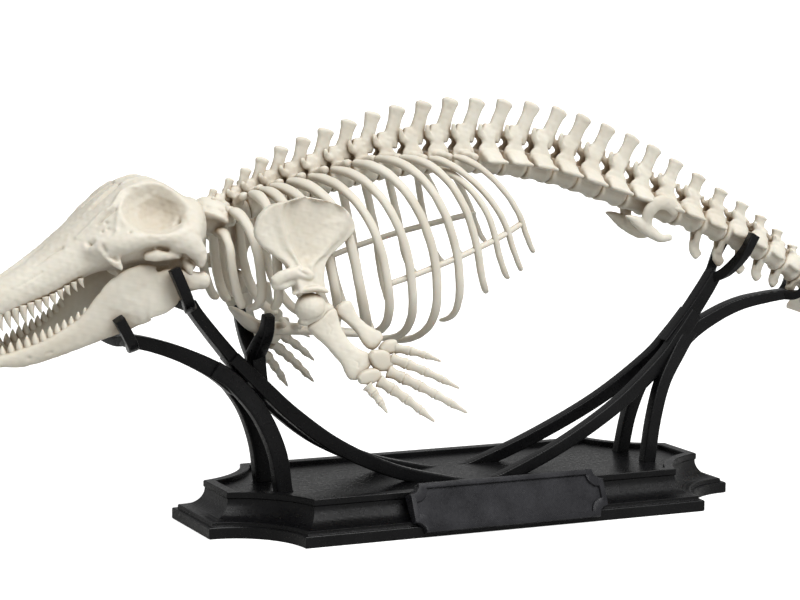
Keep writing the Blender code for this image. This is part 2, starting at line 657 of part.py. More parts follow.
def board_ring(inset, height):
    """Outline of the board at an inset, its four corners cut by inward arcs."""
    half_x, half_y = BOARD_LENGTH / 2, BOARD_WIDTH / 2
    radius = CORNER_RADIUS + 0.9 * inset
    reach = math.asin(inset / radius)
    points = []
    for sx, sy, start in ((-1, -1, 0), (1, -1, 90), (1, 1, 180), (-1, 1, 270)):
        for step in range(CORNER_STEPS):
            turn = math.radians(90 + start) - reach
            turn -= (math.pi / 2 - 2 * reach) * step / (CORNER_STEPS - 1)
            points.append((sx * half_x + radius * math.cos(turn),
                           sy * half_y + radius * math.sin(turn), height))
    return points


def stand_base(look):
    """The moulded board: plinth, cove, raised rim and sunken floor."""
    rim_under = BOARD_HEIGHT - RIM_FACE
    profile = [(0.0, 0.0), (0.0, PLINTH_HEIGHT), (1.5, PLINTH_HEIGHT + 0.1), (2.2, 5.3)]
    for turn in np.radians((30, 60, 90)):
        profile.append((2.2 + 7.2 * math.sin(turn), 5.3 + 6.4 * (1 - math.cos(turn))))
    profile += [(RIM_INSET, rim_under + 0.05), (RIM_INSET, BOARD_HEIGHT),
                (RIM_INSET + RIM_WIDTH, BOARD_HEIGHT), (RIM_INSET + RIM_WIDTH, BOARD_FLOOR)]
    return fuse("stand_base", [loft("board", [board_ring(d, z) for d, z in profile])], look)


def plaque_outline(inset):
    """Points (along, share of the height) round the plaque, inset from its edge."""
    length = PLAQUE_HALF_LENGTH - inset
    slant = math.hypot(PLAQUE_TOP - PLAQUE_BOTTOM, PLAQUE_FRONT_LOW - PLAQUE_FRONT_HIGH)
    half = slant / 2 - inset
    notch = PLAQUE_NOTCH
    corners = ((-1, -1), (1, -1), (1, 1), (-1, 1))
    points = []
    for number, (sx, sy) in enumerate(corners):
        pair = [(sx * (length - notch), sy * half), (sx * length, sy * (half - notch))]
        points += pair[::-1] if number % 2 == 0 else pair
    return points


def stand_plaque(look):
    """A slanted wedge with a raised border round a bare, sunken face."""
    rise = PLAQUE_TOP - PLAQUE_BOTTOM
    run = PLAQUE_FRONT_LOW - PLAQUE_FRONT_HIGH
    slant = math.hypot(rise, run)
    up = np.array([0, run, rise]) / slant
    out = np.array([0, -rise, run]) / slant
    centre = np.array([0, -(PLAQUE_FRONT_LOW + PLAQUE_FRONT_HIGH) / 2,
                       (PLAQUE_BOTTOM + PLAQUE_TOP) / 2])

    def ring(inset, depth):
        return [centre + np.array([a, 0, 0]) + up * b + out * depth
                for a, b in plaque_outline(inset)]

    plate = loft("plaque_plate", [ring(0, -9.0), ring(0, -0.3), ring(0.3, 0.0),
                                  ring(PLAQUE_BORDER, 0.0),
                                  ring(PLAQUE_BORDER + 0.3, -PLAQUE_RECESS)])
    return fuse("stand_plaque", [plate], look, [plaque_back()])


def plaque_back():
    """What the plaque leaves free behind it, clear of the board's moulding."""
    edge = -BOARD_WIDTH / 2
    outline = ((edge - GAP, -5), (edge - GAP, PLINTH_HEIGHT + 0.5),
               (edge + 0.9, PLINTH_HEIGHT + 0.5), (edge + 1.6, 5.8),
               (edge + RIM_INSET - 0.5, BOARD_HEIGHT - RIM_FACE + 0.3),
               (edge + RIM_INSET - 0.5, 30), (0, 30), (0, -5))
    return loft("plaque_back_cut", [[(x, y, z) for y, z in outline] for x in (-60, 60)])


def ribbon(name, points, thick, wide, steps=2):
    """A rod of the stand with a rectangular section; wide runs across the model."""
    path = smooth_line(points, steps)
    at = np.linspace(0, 1, len(path))
    stations = np.linspace(0, 1, len(points))
    high = np.interp(at, stations, np.broadcast_to(thick, len(points)))
    side_half = np.interp(at, stations, np.broadcast_to(wide, len(points)))
    side, up = frames(path, (0, 1, 0))
    rings = []
    for i, point in enumerate(path):
        s, u = side[i] * side_half[i], up[i] * high[i]
        rings.append([point - s - u, point + s - u, point + s + u, point - s + u])
    return loft(name, rings)


def both(name, points, thick, wide):
    """The same rod on both sides of the midline."""
    made = []
    for side in (-1, 1):
        path = [(x, side * y, z) for x, y, z in points]
        made.append(ribbon(f"{name}_{side}", path, thick, wide))
    return made


def prongs(name, points, radius, steps=2):
    """A cradle's round prongs on both sides of the midline."""
    made = []
    for side in (-1, 1):
        path = [(x, side * y, z) for x, y, z in points]
        made.append(sweep(f"{name}_{side}", path, radius, radius, 6, steps, 2.6, (1, 0, 0.3)))
    return made


def stand_front(look):
    """Two legs and two sweeping feet that join and branch to the jaw, skull and chest."""
    low = BOARD_FLOOR + GAP + 0.5
    pieces = both("leg", [(-70.2, 9.0, low), (-72.4, 8.4, 26.0), (-77.8, 6.2, 39.0),
                          (-86.0, 3.2, 49.5), (-92.0, 1.6, 54.0)], 2.9, 2.3)
    pieces += both("foot", [(-11.0, 10.6, low + 0.6), (-30.0, 10.2, 16.6), (-50.0, 9.0, 26.0),
                            (-66.0, 7.0, 37.8), (-78.0, 4.4, 49.6), (-86.0, 3.0, 57.7)],
                   [0.9, 2.3, 2.6, 2.6, 2.4, 2.2], 2.2)
    pieces.append(ribbon("jaw_arm", [(-84.0, 0, 47.0), (-92.0, 0, 53.6), (-103.0, 0, 59.2),
                                     (-114.0, 0, 63.2), (-123.4, 0, 65.4)],
                         [2.8, 3.0, 2.6, 2.3, 2.2], 2.9))
    pieces += prongs("jaw_prong", [(-121.5, 0.0, 65.2), (-123.6, 8.0, 64.4),
                                   (-126.6, 17.2, 66.8), (-132.0, 20.2, 75.2)], 1.8)
    pieces.append(ribbon("skull_arm", [(-80.0, 0, 50.4), (-86.0, 0, 57.7), (-92.4, 0, 65.4),
                                       (-98.2, 0, 72.8), (-100.6, 0, 76.6)],
                         [2.2, 2.2, 2.1, 2.0, 1.9], [4.6, 4.2, 3.5, 3.1, 3.1]))
    pieces += prongs("skull_prong", [(-99.8, 0.0, 75.4), (-103.4, 8.0, 76.8),
                                     (-106.8, 16.0, 77.4), (-109.6, 22.6, 80.6),
                                     (-112.6, 24.0, 86.6), (-114.6, 23.8, 91.0)], 1.8, 1)
    pieces.append(ribbon("skull_post", [(-99.4, 0, 74.8), (-103.8, 0, 81.0), (-106.6, 0, 88.9)],
                         1.6, 1.6))
    pieces.append(ribbon("chest_arm", [(-74.4, 0, 42.0), (-76.0, 0, 50.0), (-77.2, 0, 59.4)],
                         [2.8, 2.7, 2.6], 2.5))
    pieces += prongs("chest_prong", [(-77.2, 0.0, 57.6), (-77.4, 5.6, 62.6),
                                     (-77.4, 11.0, 67.6), (-77.6, 13.2, 72.8)],
                     [2.2, 2.1, 1.9, 1.7], 1)
    return fuse("stand_front", pieces, look)


def stand_rear(look):
    """Two legs and two sweeping feet that join and branch to two cradles for the tail."""
    low = BOARD_FLOOR + GAP + 0.5
    pieces = both("leg", [(71.6, 9.4, low), (74.0, 8.5, 27.0), (78.6, 6.7, 40.2),
                          (86.0, 4.0, 50.6), (92.0, 2.2, 58.0)], [2.4, 2.4, 2.5, 2.8, 2.8], 2.2)
    pieces += both("foot", [(12.6, 11.6, low + 0.6), (36.0, 9.8, 20.9), (59.6, 7.0, 33.2),
                            (78.6, 4.2, 46.9), (87.0, 3.0, 55.6), (94.0, 2.2, 64.0)],
                   [0.9, 2.2, 2.3, 2.6, 2.6, 2.6], 2.1)
    pieces.append(ribbon("tail_arm", [(84.0, 0, 47.0), (93.4, 0, 56.4), (104.4, 0, 62.6),
                                      (115.0, 0, 66.4), (126.0, 0, 68.2), (134.4, 0, 69.0)],
                         [2.6, 2.7, 2.4, 2.2, 2.0, 1.8], 2.6))
    pieces.append(ribbon("loin_arm", [(84.0, 0, 53.0), (92.0, 0, 62.0), (99.0, 0, 71.4),
                                      (103.4, 0, 78.0)], [2.8, 2.8, 2.6, 2.4], 2.8))
    pieces += prongs("loin_prong", [(101.8, 0.0, 75.8), (105.6, 5.0, 79.0),
                                    (110.6, 8.4, 85.6), (114.8, 8.6, 92.4)], 1.8, 1)
    pieces += prongs("tail_prong", [(132.6, 0.0, 68.8), (137.0, 4.8, 69.2),
                                    (140.6, 7.2, 72.6), (142.6, 7.2, 76.6)], 1.5, 1)
    return fuse("stand_rear", pieces, look)


def build():
    clear_scene()
    bone = material("ivory_plastic", BONE_COLOUR, 0.6)
    black = material("black_plastic", BLACK_COLOUR, 0.45)
    skull(bone)
    lower_jaw(bone)
    spine_node("spine_neck", 0, NECK_END, bone)
    spine_node("spine_chest", NECK_END, CHEST_END, bone)
    spine_node("spine_loin", CHEST_END, LOIN_END, bone)
    spine_node("spine_tail", LOIN_END, VERTEBRA_COUNT, bone)
    left = [ribs_left(bone), scapula(bone), humerus(bone)]
    left.append(forearm("radius_left", [(-67.6, -35.0, 73.2), (-63.4, -38.0, 67.4),
                                        (-57.4, -41.6, 59.6)], [5.6, 3.4, 5.2], [1.9, 1.6, 1.9],
                        bone))
    left.append(forearm("ulna_left", [(-59.8, -35.0, 76.8), (-56.2, -37.2, 70.8),
                                      (-51.4, -40.0, 65.9)], [2.7, 1.9, 3.2], [1.7, 1.4, 1.7],
                        bone))
    left.append(hand(bone))
    for node in left:
        twin_name = node.name.replace("left", "right")
        flipper = node.name.startswith(("humerus", "radius", "ulna", "hand"))
        twin = mirrored(node, twin_name, FAR_FLIPPER_SWING if flipper else 0.0, SHOULDER)
        if twin_name == "scapula_right":
            turn_in(twin)
    mirrored(pelvis(bone), "pelvis_right")
    sternum(bone)
    mirrored(fluke(bone), "fluke_right")
    stand_base(black)
    stand_plaque(black)
    stand_front(black)
    stand_rear(black)


build()
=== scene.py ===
"""Orca skeleton, a small printed model on its black display board.

Lengths inside the shape functions are millimetres, turned to metres where a mesh is
made. Head towards -X, tail towards +X, the animal's left side towards -Y, +Z up.
A skin is a tuple of points, four-sided faces and three-sided faces.
"""

import math

import bpy
import numpy as np
from bpy.props import FloatProperty, FloatVectorProperty, IntProperty, PointerProperty
from mathutils import Matrix, Vector


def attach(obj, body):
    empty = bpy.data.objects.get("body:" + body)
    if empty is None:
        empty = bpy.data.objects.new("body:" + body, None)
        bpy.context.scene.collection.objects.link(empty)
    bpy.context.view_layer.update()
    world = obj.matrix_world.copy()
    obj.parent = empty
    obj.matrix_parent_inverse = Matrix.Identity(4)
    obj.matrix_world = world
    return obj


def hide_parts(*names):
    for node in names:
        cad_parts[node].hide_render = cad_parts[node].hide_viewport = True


bl_info = {
    "name": "Orca skeleton model",
    "version": (1, 0, 0),
    "blender": (4, 5, 0),
    "location": "View3D > Sidebar > Orca model",
    "description": "Builds the printed orca skeleton on its black display board",
    "category": "Add Mesh",
}

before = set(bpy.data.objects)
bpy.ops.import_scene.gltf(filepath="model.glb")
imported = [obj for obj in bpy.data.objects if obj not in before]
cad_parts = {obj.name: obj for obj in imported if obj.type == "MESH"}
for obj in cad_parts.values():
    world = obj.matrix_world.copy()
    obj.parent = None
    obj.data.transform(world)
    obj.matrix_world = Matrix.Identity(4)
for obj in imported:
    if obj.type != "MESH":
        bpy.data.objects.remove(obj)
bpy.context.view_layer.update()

MM = 0.001
# Turn between neighbouring directions of an even spread over a ball, in radians
GOLDEN = 2.39996
# Side of the cubes, in mm, on which the parts of a bone are melted into one skin
ARM_VOXEL, SPINE_VOXEL, STERNUM_VOXEL, JAW_VOXEL = 0.28, 0.3, 0.35, 0.4
SKULL_VOXEL, SKULL_FINE_VOXEL, SKULL_LAST_VOXEL = 0.8, 0.6, 0.42

# Spine: line through the middles of the vertebral bodies, as (x, z)
SPINE_LINE = (
    (-98.0, 101.8), (-80.0, 107.2), (-62.0, 112.2), (-42.0, 117.3), (-22.0, 120.4),
    (-2.0, 121.1), (18.0, 119.8), (36.0, 116.5), (52.0, 111.5), (70.0, 105.6),
    (90.0, 99.2), (110.0, 91.6), (126.0, 84.3), (140.5, 75.0), (152.0, 65.8),
    (167.0, 54.4),
)
# Named sizes along the spine, as (vertebra number, value)
SPACING = ((0, 5.7), (2.5, 5.8), (4.5, 8.0), (9.5, 9.3), (14.5, 9.9), (20.5, 11.5),
           (22.5, 10.7), (24.5, 9.0), (29, 8.1), (31, 7.0))
BODY_RADIUS = ((0, 4.4), (2, 3.7), (4, 3.8), (12, 4.0), (15, 4.7), (20, 4.7), (25, 4.1),
               (29, 3.2), (32, 2.1))
SPINE_HEIGHT = ((0, 11.0), (4, 17.8), (8, 20.6), (11, 21.8), (14, 21.0), (19, 18.6),
                (22, 13.2), (26, 8.4), (29, 5.8), (32, 3.0))
SPINE_LEAN = ((0, 2.2), (4, 3.4), (9, 4.6), (12, 7.0), (15, 10.4), (18, 10.2), (21, 6.0),
              (26, 2.2), (32, 0.8))
WING_SPAN = ((0, 9.0), (1, 6.5), (5, 8.0), (11, 8.8), (13, 8.6), (20, 9.2), (22, 6.4),
             (26, 4.5), (29, 2.6), (32, 1.8))
WING_LIFT = ((0, 0.0), (1, 2.4), (2, 5.4), (3, 6.2), (7, 5.5), (8, 5.0), (9, 3.8), (10, 2.4),
             (12, 2.0), (13, 0.1), (32, 0.0))
WING_CHORD = ((0, 0.16), (11, 0.18), (13, 0.36), (20, 0.42), (22, 0.36), (27, 0.3))
BLADE_HALF = ((0, 1.2), (1, 1.3), (3, 1.95), (6, 2.35), (14, 2.55), (20, 2.55), (23, 2.3),
              (26, 1.9), (29, 1.4), (32, 0.9))
CHEVRON_LENGTH = ((22, 10.5), (25, 8.4), (27, 5.0), (29, 4.2))
VERTEBRA_COUNT = 32
FIRST_OFFSET = 4.4
BODY_FILL = 0.86
FIRST_CHEVRON, LAST_CHEVRON, LAST_KNOB, LAST_WING = 22, 28, 28, 27
NECK_END, CHEST_END, LOIN_END = 3, 13, 21

# Ribs: vertebra that carries it, height of the head above its middle, squareness of the
# upper curve, widest point, lower end, how far the lower half bows back, half width in the
# middle and near the end
RIBS = (
    (0.3, -3.0, 2.2, (-91.0, 13.5, 91.0), (-86.1, 12.0, 76.3), 2.4, 1.55, 1.5),
    (1.1, 2.2, 1.8, (-83.6, 20.5, 90.0), (-82.8, 10.0, 75.4), 2.0, 1.65, 1.6),
    (2.3, 6.0, 2.3, (-79.0, 24.0, 91.0), (-76.9, 16.0, 76.0), 1.2, 1.6, 1.6),
    (2.95, 6.0, 2.3, (-71.5, 26.5, 92.0), (-65.0, 11.0, 70.0), 3.6, 1.6, 1.6),
    (3.5, 6.2, 2.3, (-62.4, 28.4, 92.0), (-54.0, 12.0, 69.0), 5.0, 1.6, 1.65),
    (4.35, 6.0, 2.3, (-54.0, 29.8, 92.0), (-43.2, 14.0, 66.0), 5.6, 1.7, 2.1),
    (5.3, 5.4, 2.2, (-44.2, 31.6, 91.0), (-41.2, 12.0, 64.9), 5.3, 1.5, 1.75),
    (6.3, 5.4, 2.2, (-35.8, 33.0, 91.0), (-33.8, 9.0, 62.4), 4.8, 1.5, 1.6),
    (7.25, 5.5, 2.3, (-26.3, 33.0, 91.0), (-29.5, 8.0, 61.4), 3.9, 1.55, 1.4),
    (8.2, 5.2, 2.4, (-17.5, 32.0, 92.0), (-17.3, 20.0, 69.3), 3.0, 1.45, 1.05),
    (9.2, 3.8, 2.4, (-9.0, 30.0, 94.0), (-3.7, 27.0, 79.1), 2.4, 1.35, 0.95),
    (10.6, -1.4, 2.0, (-1.0, 27.0, 98.0), (5.8, 24.5, 83.2), 3.6, 1.15, 0.85),
    (10.35, 2.4, 1.75, (5.4, 23.8, 99.6), (11.8, 22.4, 85.5), 4.6, 1.1, 0.85),
    (11.3, 2.4, 1.75, (13.6, 19.0, 101.6), (18.8, 18.2, 91.1), 3.6, 1.05, 0.85),
)
LOWER_CURVE = 2.9
FIRST_BARRED_RIB = 6
RIB_BAR_FRONT, RIB_BAR_SLOPE = (-41.0, 84.6), 0.2985

SHOULDER = (-70.2, -33.6, 77.9)
FAR_FLIPPER_SWING = 9.0
FAR_BLADE_TURN, FAR_BLADE_HEIGHT, BLADE_NECK = 25.0, 0.82, 83.5

# Board and plaque
BOARD_LENGTH, BOARD_WIDTH, BOARD_HEIGHT = 200.0, 83.5, 14.0
CORNER_RADIUS, ARC_STEPS = 24.2, 14
RIM_INSET, RIM_WIDTH, RIM_FACE, FLOOR_DEPTH = 8.8, 3.8, 2.3, 1.6
BOARD_FLOOR = BOARD_HEIGHT - FLOOR_DEPTH
PLINTH_HEIGHT = 3.9
PLAQUE_HALF_LENGTH, PLAQUE_BOTTOM, PLAQUE_TOP = 36.6, 2.5, 17.5
PLAQUE_FRONT_LOW, PLAQUE_FRONT_HIGH = 44.2, 36.6
PLAQUE_NOTCH, PLAQUE_BORDER, PLAQUE_RECESS = 3.6, 1.9, 0.8

# Camera fitted to the board's corners, in millimetres and degrees
CAMERA_PLACE = (-396.0, -782.5, 189.2)
CAMERA_AZIMUTH, CAMERA_ELEVATION, CAMERA_ROLL = -25.4724, 7.5797, 0.6955
CAMERA_LENS, SENSOR = 114.4, 36.0
# Radius of the floor's flat middle and of the whole floor, and how fast its edge rises
FLAT_FLOOR, FLOOR_RADIUS, FLOOR_RISE = 1500, 12000, 1.3e-5
# Direction towards each light, and its width in degrees
KEY_LIGHT, FILL_LIGHT = ((0.22, -0.86, 1.45), 42), ((0.9, -0.7, 0.5), 70)
# Edges sharper than this many degrees are not smoothed
BOARD_SHARP, SUPPORT_SHARP = 25, 35
# Depth and length in mm of the skin's fine unevenness
SPINE_WAVES, RIB_WAVES, ARM_WAVES = (0.05, 2.6), (0.05, 5.0), (0.035, 2.2)
FLAT_BONE_WAVES, SKULL_WAVES, JAW_WAVES = (0.04, 2.4), (0.06, 2.4), (0.05, 3.0)


# Shapes


def knots(table, at):
    """The value at a position, straight between the neighbouring named ones."""
    return float(np.interp(at, [row[0] for row in table], [row[1] for row in table]))


def spline(rows, steps):
    """Catmull-Rom: each span is the cubic that passes its two ends with slopes set by
    their neighbours, worked out for every column at once; steps samples to a span."""
    p = np.asarray(rows, float)
    p = np.vstack([2 * p[0] - p[1], p, 2 * p[-1] - p[-2]])
    spans = len(p) - 3
    at = np.linspace(0, spans, spans * steps + 1)
    i = np.minimum(at.astype(int), spans - 1)
    t = (at - i)[:, None]
    a, b, c, d = p[i], p[i + 1], p[i + 2], p[i + 3]
    return 0.5 * (2 * b + (c - a) * t + (2 * a - 5 * b + 4 * c - d) * t ** 2
                  + (3 * b - a - 3 * c + d) * t ** 3)


def frames(path, hint):
    """Side and up vectors of each station, square to the path's tangent."""
    along = np.gradient(path, axis=0)
    along /= np.linalg.norm(along, axis=1)[:, None]
    hint = np.broadcast_to(np.array(hint, float), along.shape)
    side = hint - (hint * along).sum(1)[:, None] * along
    side /= np.linalg.norm(side, axis=1)[:, None]
    return along, side, np.cross(side, along)


def superellipse(count, square):
    """Cosine and sine of a full turn, each raised to 2 over the squareness."""
    turn = np.linspace(0, 2 * np.pi, count, endpoint=False)
    c, s = np.cos(turn), np.sin(turn)
    power = 2 / np.asarray(square, float)
    return np.sign(c) * np.abs(c) ** power, np.sign(s) * np.abs(s) ** power


def triangles(skin):
    """The skin's triangles, four-sided faces cut in two: corner numbers, and the points
    at the three corners."""
    points, quads, tris = skin
    corners = np.vstack([quads[:, [0, 1, 2]], quads[:, [0, 2, 3]], tris])
    return corners, [points[corners[:, k]] for k in range(3)]


def outward(skin):
    """The same skin with its faces turned so that the volume is positive."""
    points, quads, tris = skin
    a, b, c = triangles(skin)[1]
    if np.einsum("ij,ij->", a, np.cross(b, c)) < 0:
        quads, tris = quads[:, ::-1], tris[:, ::-1]
    return points, quads, tris


def ring_quads(rows, count):
    """The four-sided faces between rings that lie one after another."""
    row = np.arange(rows - 1)[:, None] * count
    k = np.arange(count)[None]
    n = (k + 1) % count
    return np.stack([row + k, row + n, row + count + n, row + count + k], -1).reshape(-1, 4)


def closed(rings):
    """A closed skin over rings of equally many points, each end closed on its middle."""
    rows, count = rings.shape[:2]
    points = np.vstack([rings.reshape(-1, 3), rings[0].mean(0), rings[-1].mean(0)])
    k = np.arange(count)
    n = (k + 1) % count
    first, last = rows * count, rows * count + 1
    base = (rows - 1) * count
    tris = np.vstack([np.stack([np.full(count, first), n, k], -1),
                      np.stack([np.full(count, last), base + k, base + n], -1)])
    return outward((points, ring_quads(rows, count), tris))


def sections(path, wide, high, hint, count, square):
    """The path's tangents, and superellipses square to it as offsets from it."""
    along, side, up = frames(path, hint)
    c, s = superellipse(count, square)
    return along, (side[:, None] * (wide[:, None] * c)[..., None]
                   + up[:, None] * (high[:, None] * s)[..., None])


def limb(rows, hint=(0, 1, 0), count=20, steps=6, square=2.0, ends=1.0):
    """A superellipse carried along a smooth line. Each row is x, y, z and the half sizes
    across (towards the hint) and up; ends sets how far the round caps stand out."""
    table = spline(rows, steps)
    path, sizes = table[:, :3], np.maximum(table[:, 3:5], 0.03)
    along, flat = sections(path, sizes[:, 0], sizes[:, 1], hint, count, square)
    rings = path[:, None] + flat
    if ends > 0:
        bend = np.radians([25, 48, 66, 79, 87])[:, None, None]
        reach = ends * sizes.min(1)
        head = path[0] - along[0] * reach[0] * np.sin(bend) + flat[0] * np.cos(bend)
        tail = path[-1] + along[-1] * reach[-1] * np.sin(bend) + flat[-1] * np.cos(bend)
        rings = np.concatenate([head[::-1], rings, tail])
    return closed(rings)


def egg(centre, radii, square=2.0):
    """An ellipsoid: rings of cosine radius stacked at the sine of the latitude."""
    tilt = np.radians(np.linspace(-86, 86, 14))[:, None]
    c, s = superellipse(22, square)
    ring = np.stack([np.cos(tilt) * c, np.cos(tilt) * s, np.sin(tilt) * np.ones(22)], -1)
    return closed(ring * np.array(radii) + np.array(centre))


def gather(skins):
    """Several skins as one."""
    points, quads, tris, at = [], [], [], 0
    for p, q, t in skins:
        points.append(p)
        quads.append(q + at)
        tris.append(t + at)
        at += len(p)
    return np.vstack(points), np.vstack(quads), np.vstack(tris)


def mirror(skin):
    """The skin on the other side of the midline."""
    points, quads, tris = skin
    return points * (1, -1, 1), quads[:, ::-1], tris[:, ::-1]


def both(make):
    """The skins that make gives for the left side, and their mirror images."""
    left = make()
    return left + [mirror(skin) for skin in left]


def swing_far(skin):
    """The far flipper's skin: the near one mirrored and turned about the cross axis through
    the shoulder."""
    points, quads, tris = mirror(skin)
    turn = math.radians(FAR_FLIPPER_SWING)
    c, s = math.cos(turn), math.sin(turn)
    pivot = np.array([SHOULDER[0], 0, SHOULDER[2]])
    shift = points - pivot
    turned = np.stack([c * shift[:, 0] + s * shift[:, 2], shift[:, 1],
                       c * shift[:, 2] - s * shift[:, 0]], -1)
    return turned + pivot, quads, tris


def raw_object(name, skin):
    """A mesh object of the skin, in metres."""
    points, quads, tris = skin
    mesh = bpy.data.meshes.new(name)
    mesh.vertices.add(len(points))
    mesh.vertices.foreach_set("co", (points * MM).astype(np.float32).ravel())
    loops = np.concatenate([quads.ravel(), tris.ravel()]).astype(np.int32)
    starts = np.concatenate([np.arange(len(quads)) * 4,
                             len(quads) * 4 + np.arange(len(tris)) * 3]).astype(np.int32)
    mesh.loops.add(len(loops))
    mesh.loops.foreach_set("vertex_index", loops)
    mesh.polygons.add(len(starts))
    mesh.polygons.foreach_set("loop_start", starts)
    mesh.update(calc_edges=True)
    mesh.validate()
    made = bpy.data.objects.new(name, mesh)
    bpy.context.scene.collection.objects.link(made)
    return made


def read_back(thing):
    """The skin of an object as its modifiers leave it."""
    graph = bpy.context.evaluated_depsgraph_get()
    made = thing.evaluated_get(graph)
    mesh = made.to_mesh()
    points = np.empty(len(mesh.vertices) * 3, np.float32)
    mesh.vertices.foreach_get("co", points)
    loops = np.empty(len(mesh.loops), np.int32)
    mesh.loops.foreach_get("vertex_index", loops)
    starts = np.empty(len(mesh.polygons), np.int32)
    mesh.polygons.foreach_get("loop_start", starts)
    sizes = np.empty(len(mesh.polygons), np.int32)
    mesh.polygons.foreach_get("loop_total", sizes)
    quads = loops[starts[sizes == 4][:, None] + np.arange(4)]
    tris = loops[starts[sizes == 3][:, None] + np.arange(3)]
    made.to_mesh_clear()
    return points.reshape(-1, 3).astype(float) / MM, quads, tris


def melt(skins, voxel):
    """One skin round all of the given ones, made anew on a grid of cubes."""
    helper = raw_object("melt", gather(skins))
    modifier = helper.modifiers.new("melt", "REMESH")
    modifier.mode = "VOXEL"
    modifier.voxel_size = voxel * MM
    modifier.adaptivity = 0.0
    skin = read_back(helper)
    bpy.data.meshes.remove(helper.data)
    return skin


def relax(skin, rounds):
    """Moves each point half way towards the mean of its neighbours, rounds times."""
    points, quads, tris = skin
    sides = [quads[:, [k, (k + 1) % 4]] for k in range(4)]
    sides += [tris[:, [k, (k + 1) % 3]] for k in range(3)]
    edges = np.unique(np.sort(np.vstack(sides), axis=1), axis=0)
    a, b = edges[:, 0], edges[:, 1]
    links = np.bincount(a, minlength=len(points)) + np.bincount(b, minlength=len(points))
    links = np.maximum(links, 1)[:, None]
    for _ in range(rounds):
        total = np.stack([np.bincount(a, points[b, k], len(points))
                          + np.bincount(b, points[a, k], len(points)) for k in range(3)], -1)
        points = points + 0.5 * (total / links - points)
    return points, quads, tris


def press_line(skin, rows):
    """Pushes points out of a round tool drawn along a line. Rows are x, y, z, radius."""
    points, quads, tris = skin
    tool = spline(rows, 8)
    low = (tool[:, :3] - tool[:, 3:]).min(0)
    high = (tool[:, :3] + tool[:, 3:]).max(0)
    near = np.flatnonzero(((points > low) & (points < high)).all(1))
    if not len(near):
        return skin
    away = points[near, None] - tool[None, :, :3]
    distance = np.linalg.norm(away, axis=2)
    pick = (distance / tool[None, :, 3]).argmin(1)
    rank = np.arange(len(near))
    gap = np.maximum(distance[rank, pick], 1e-6)
    push = np.maximum(tool[pick, 3] - gap, 0)
    moved = points.copy()
    moved[near] += away[rank, pick] / gap[:, None] * push[:, None]
    return moved, quads, tris


def press_egg(skin, centre, radii, turn=((1, 0, 0), (0, 1, 0), (0, 0, 1))):
    """Pushes points out of an ellipsoid, along the line from its centre; turn holds the
    directions of its half sizes."""
    points, quads, tris = skin
    turn = np.array(turn)
    unit = (points - np.array(centre)) @ turn.T / np.array(radii)
    length = np.maximum(np.linalg.norm(unit, axis=1), 1e-6)
    scale = np.where(length < 1, 1 / length, 1.0)[:, None]
    return np.array(centre) + (unit * scale * np.array(radii)) @ turn, quads, tris


def normals_of(skin):
    """Unit normals at the points, from the faces round each."""
    corners, (a, b, c) = triangles(skin)
    face = np.cross(b - a, c - a)
    total = np.stack([sum(np.bincount(corners[:, k], face[:, j], len(skin[0]))
                          for k in range(3)) for j in range(3)], -1)
    return total / np.maximum(np.linalg.norm(total, axis=1), 1e-9)[:, None]


def carve(skin, lines):
    """Moves points along their normals by a height times a bell curve of their distance
    from a drawn line, in shares of its half width. Each line is a height and rows of x, y,
    z and half width; it is drawn on both sides of the midline."""
    points, quads, tris = skin
    normals = normals_of(skin)
    shift = np.zeros(len(points))
    for height, rows in lines:
        line = spline(rows, 8) if len(rows) > 1 else np.asarray(rows, float)
        for side in (1, -1):
            path = line[:, :3] * (1, side, 1)
            reach = 2.2 * line[:, 3].max()
            low, high = path.min(0) - reach, path.max(0) + reach
            near = np.flatnonzero(((points > low) & (points < high)).all(1))
            if len(near):
                gap = np.linalg.norm(points[near, None] - path[None], axis=2) / line[None, :, 3]
                shift[near] += height * np.exp(-gap.min(1) ** 2)
            if not np.any(line[:, 1]):
                break
    return points + normals * shift[:, None], quads, tris


def roughen(skin, depth, size):
    """Moves points along their normals by a sum of sine waves that run in directions
    spread evenly over a ball, with lengths near the given size."""
    points, quads, tris = skin
    waves = 14
    number = np.arange(waves)
    height = 1 - 2 * (number + 0.5) / waves
    across = np.sqrt(1 - height ** 2)
    way = np.stack([across * np.cos(number * GOLDEN), across * np.sin(number * GOLDEN),
                    height], -1) * (2 * np.pi / (size * (0.7 + 0.09 * (number % 7))))[:, None]
    wave = np.sin(points @ way.T + number * 1.7).sum(1) / math.sqrt(waves)
    return points + normals_of(skin) * (wave * depth)[:, None], quads, tris


def piece(name, skin, look, nodes, angle=None):
    """A finished object that rides with the model and stands for its CAD nodes."""
    made = raw_object(name, skin)
    made.data.polygons.foreach_set("use_smooth", np.ones(len(made.data.polygons), bool))
    if angle:
        made.data.set_sharp_from_angle(angle=math.radians(angle))
    made.data.materials.append(bpy.data.materials[look])
    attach(made, "root")
    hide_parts(*nodes)


def bone(name, skin, node, look="ivory_plastic"):
    """A finished bone, which stands for one CAD node."""
    piece(name, skin, look, [node])


def bone_pair(name, left, node, number="", place_far=mirror):
    """The left bone and its far counterpart; node is the CAD name without its side."""
    bone(f"{name}_left{number}", left, f"{node}_left")
    bone(f"{name}_right{number}", place_far(left), f"{node}_right")


# Spine


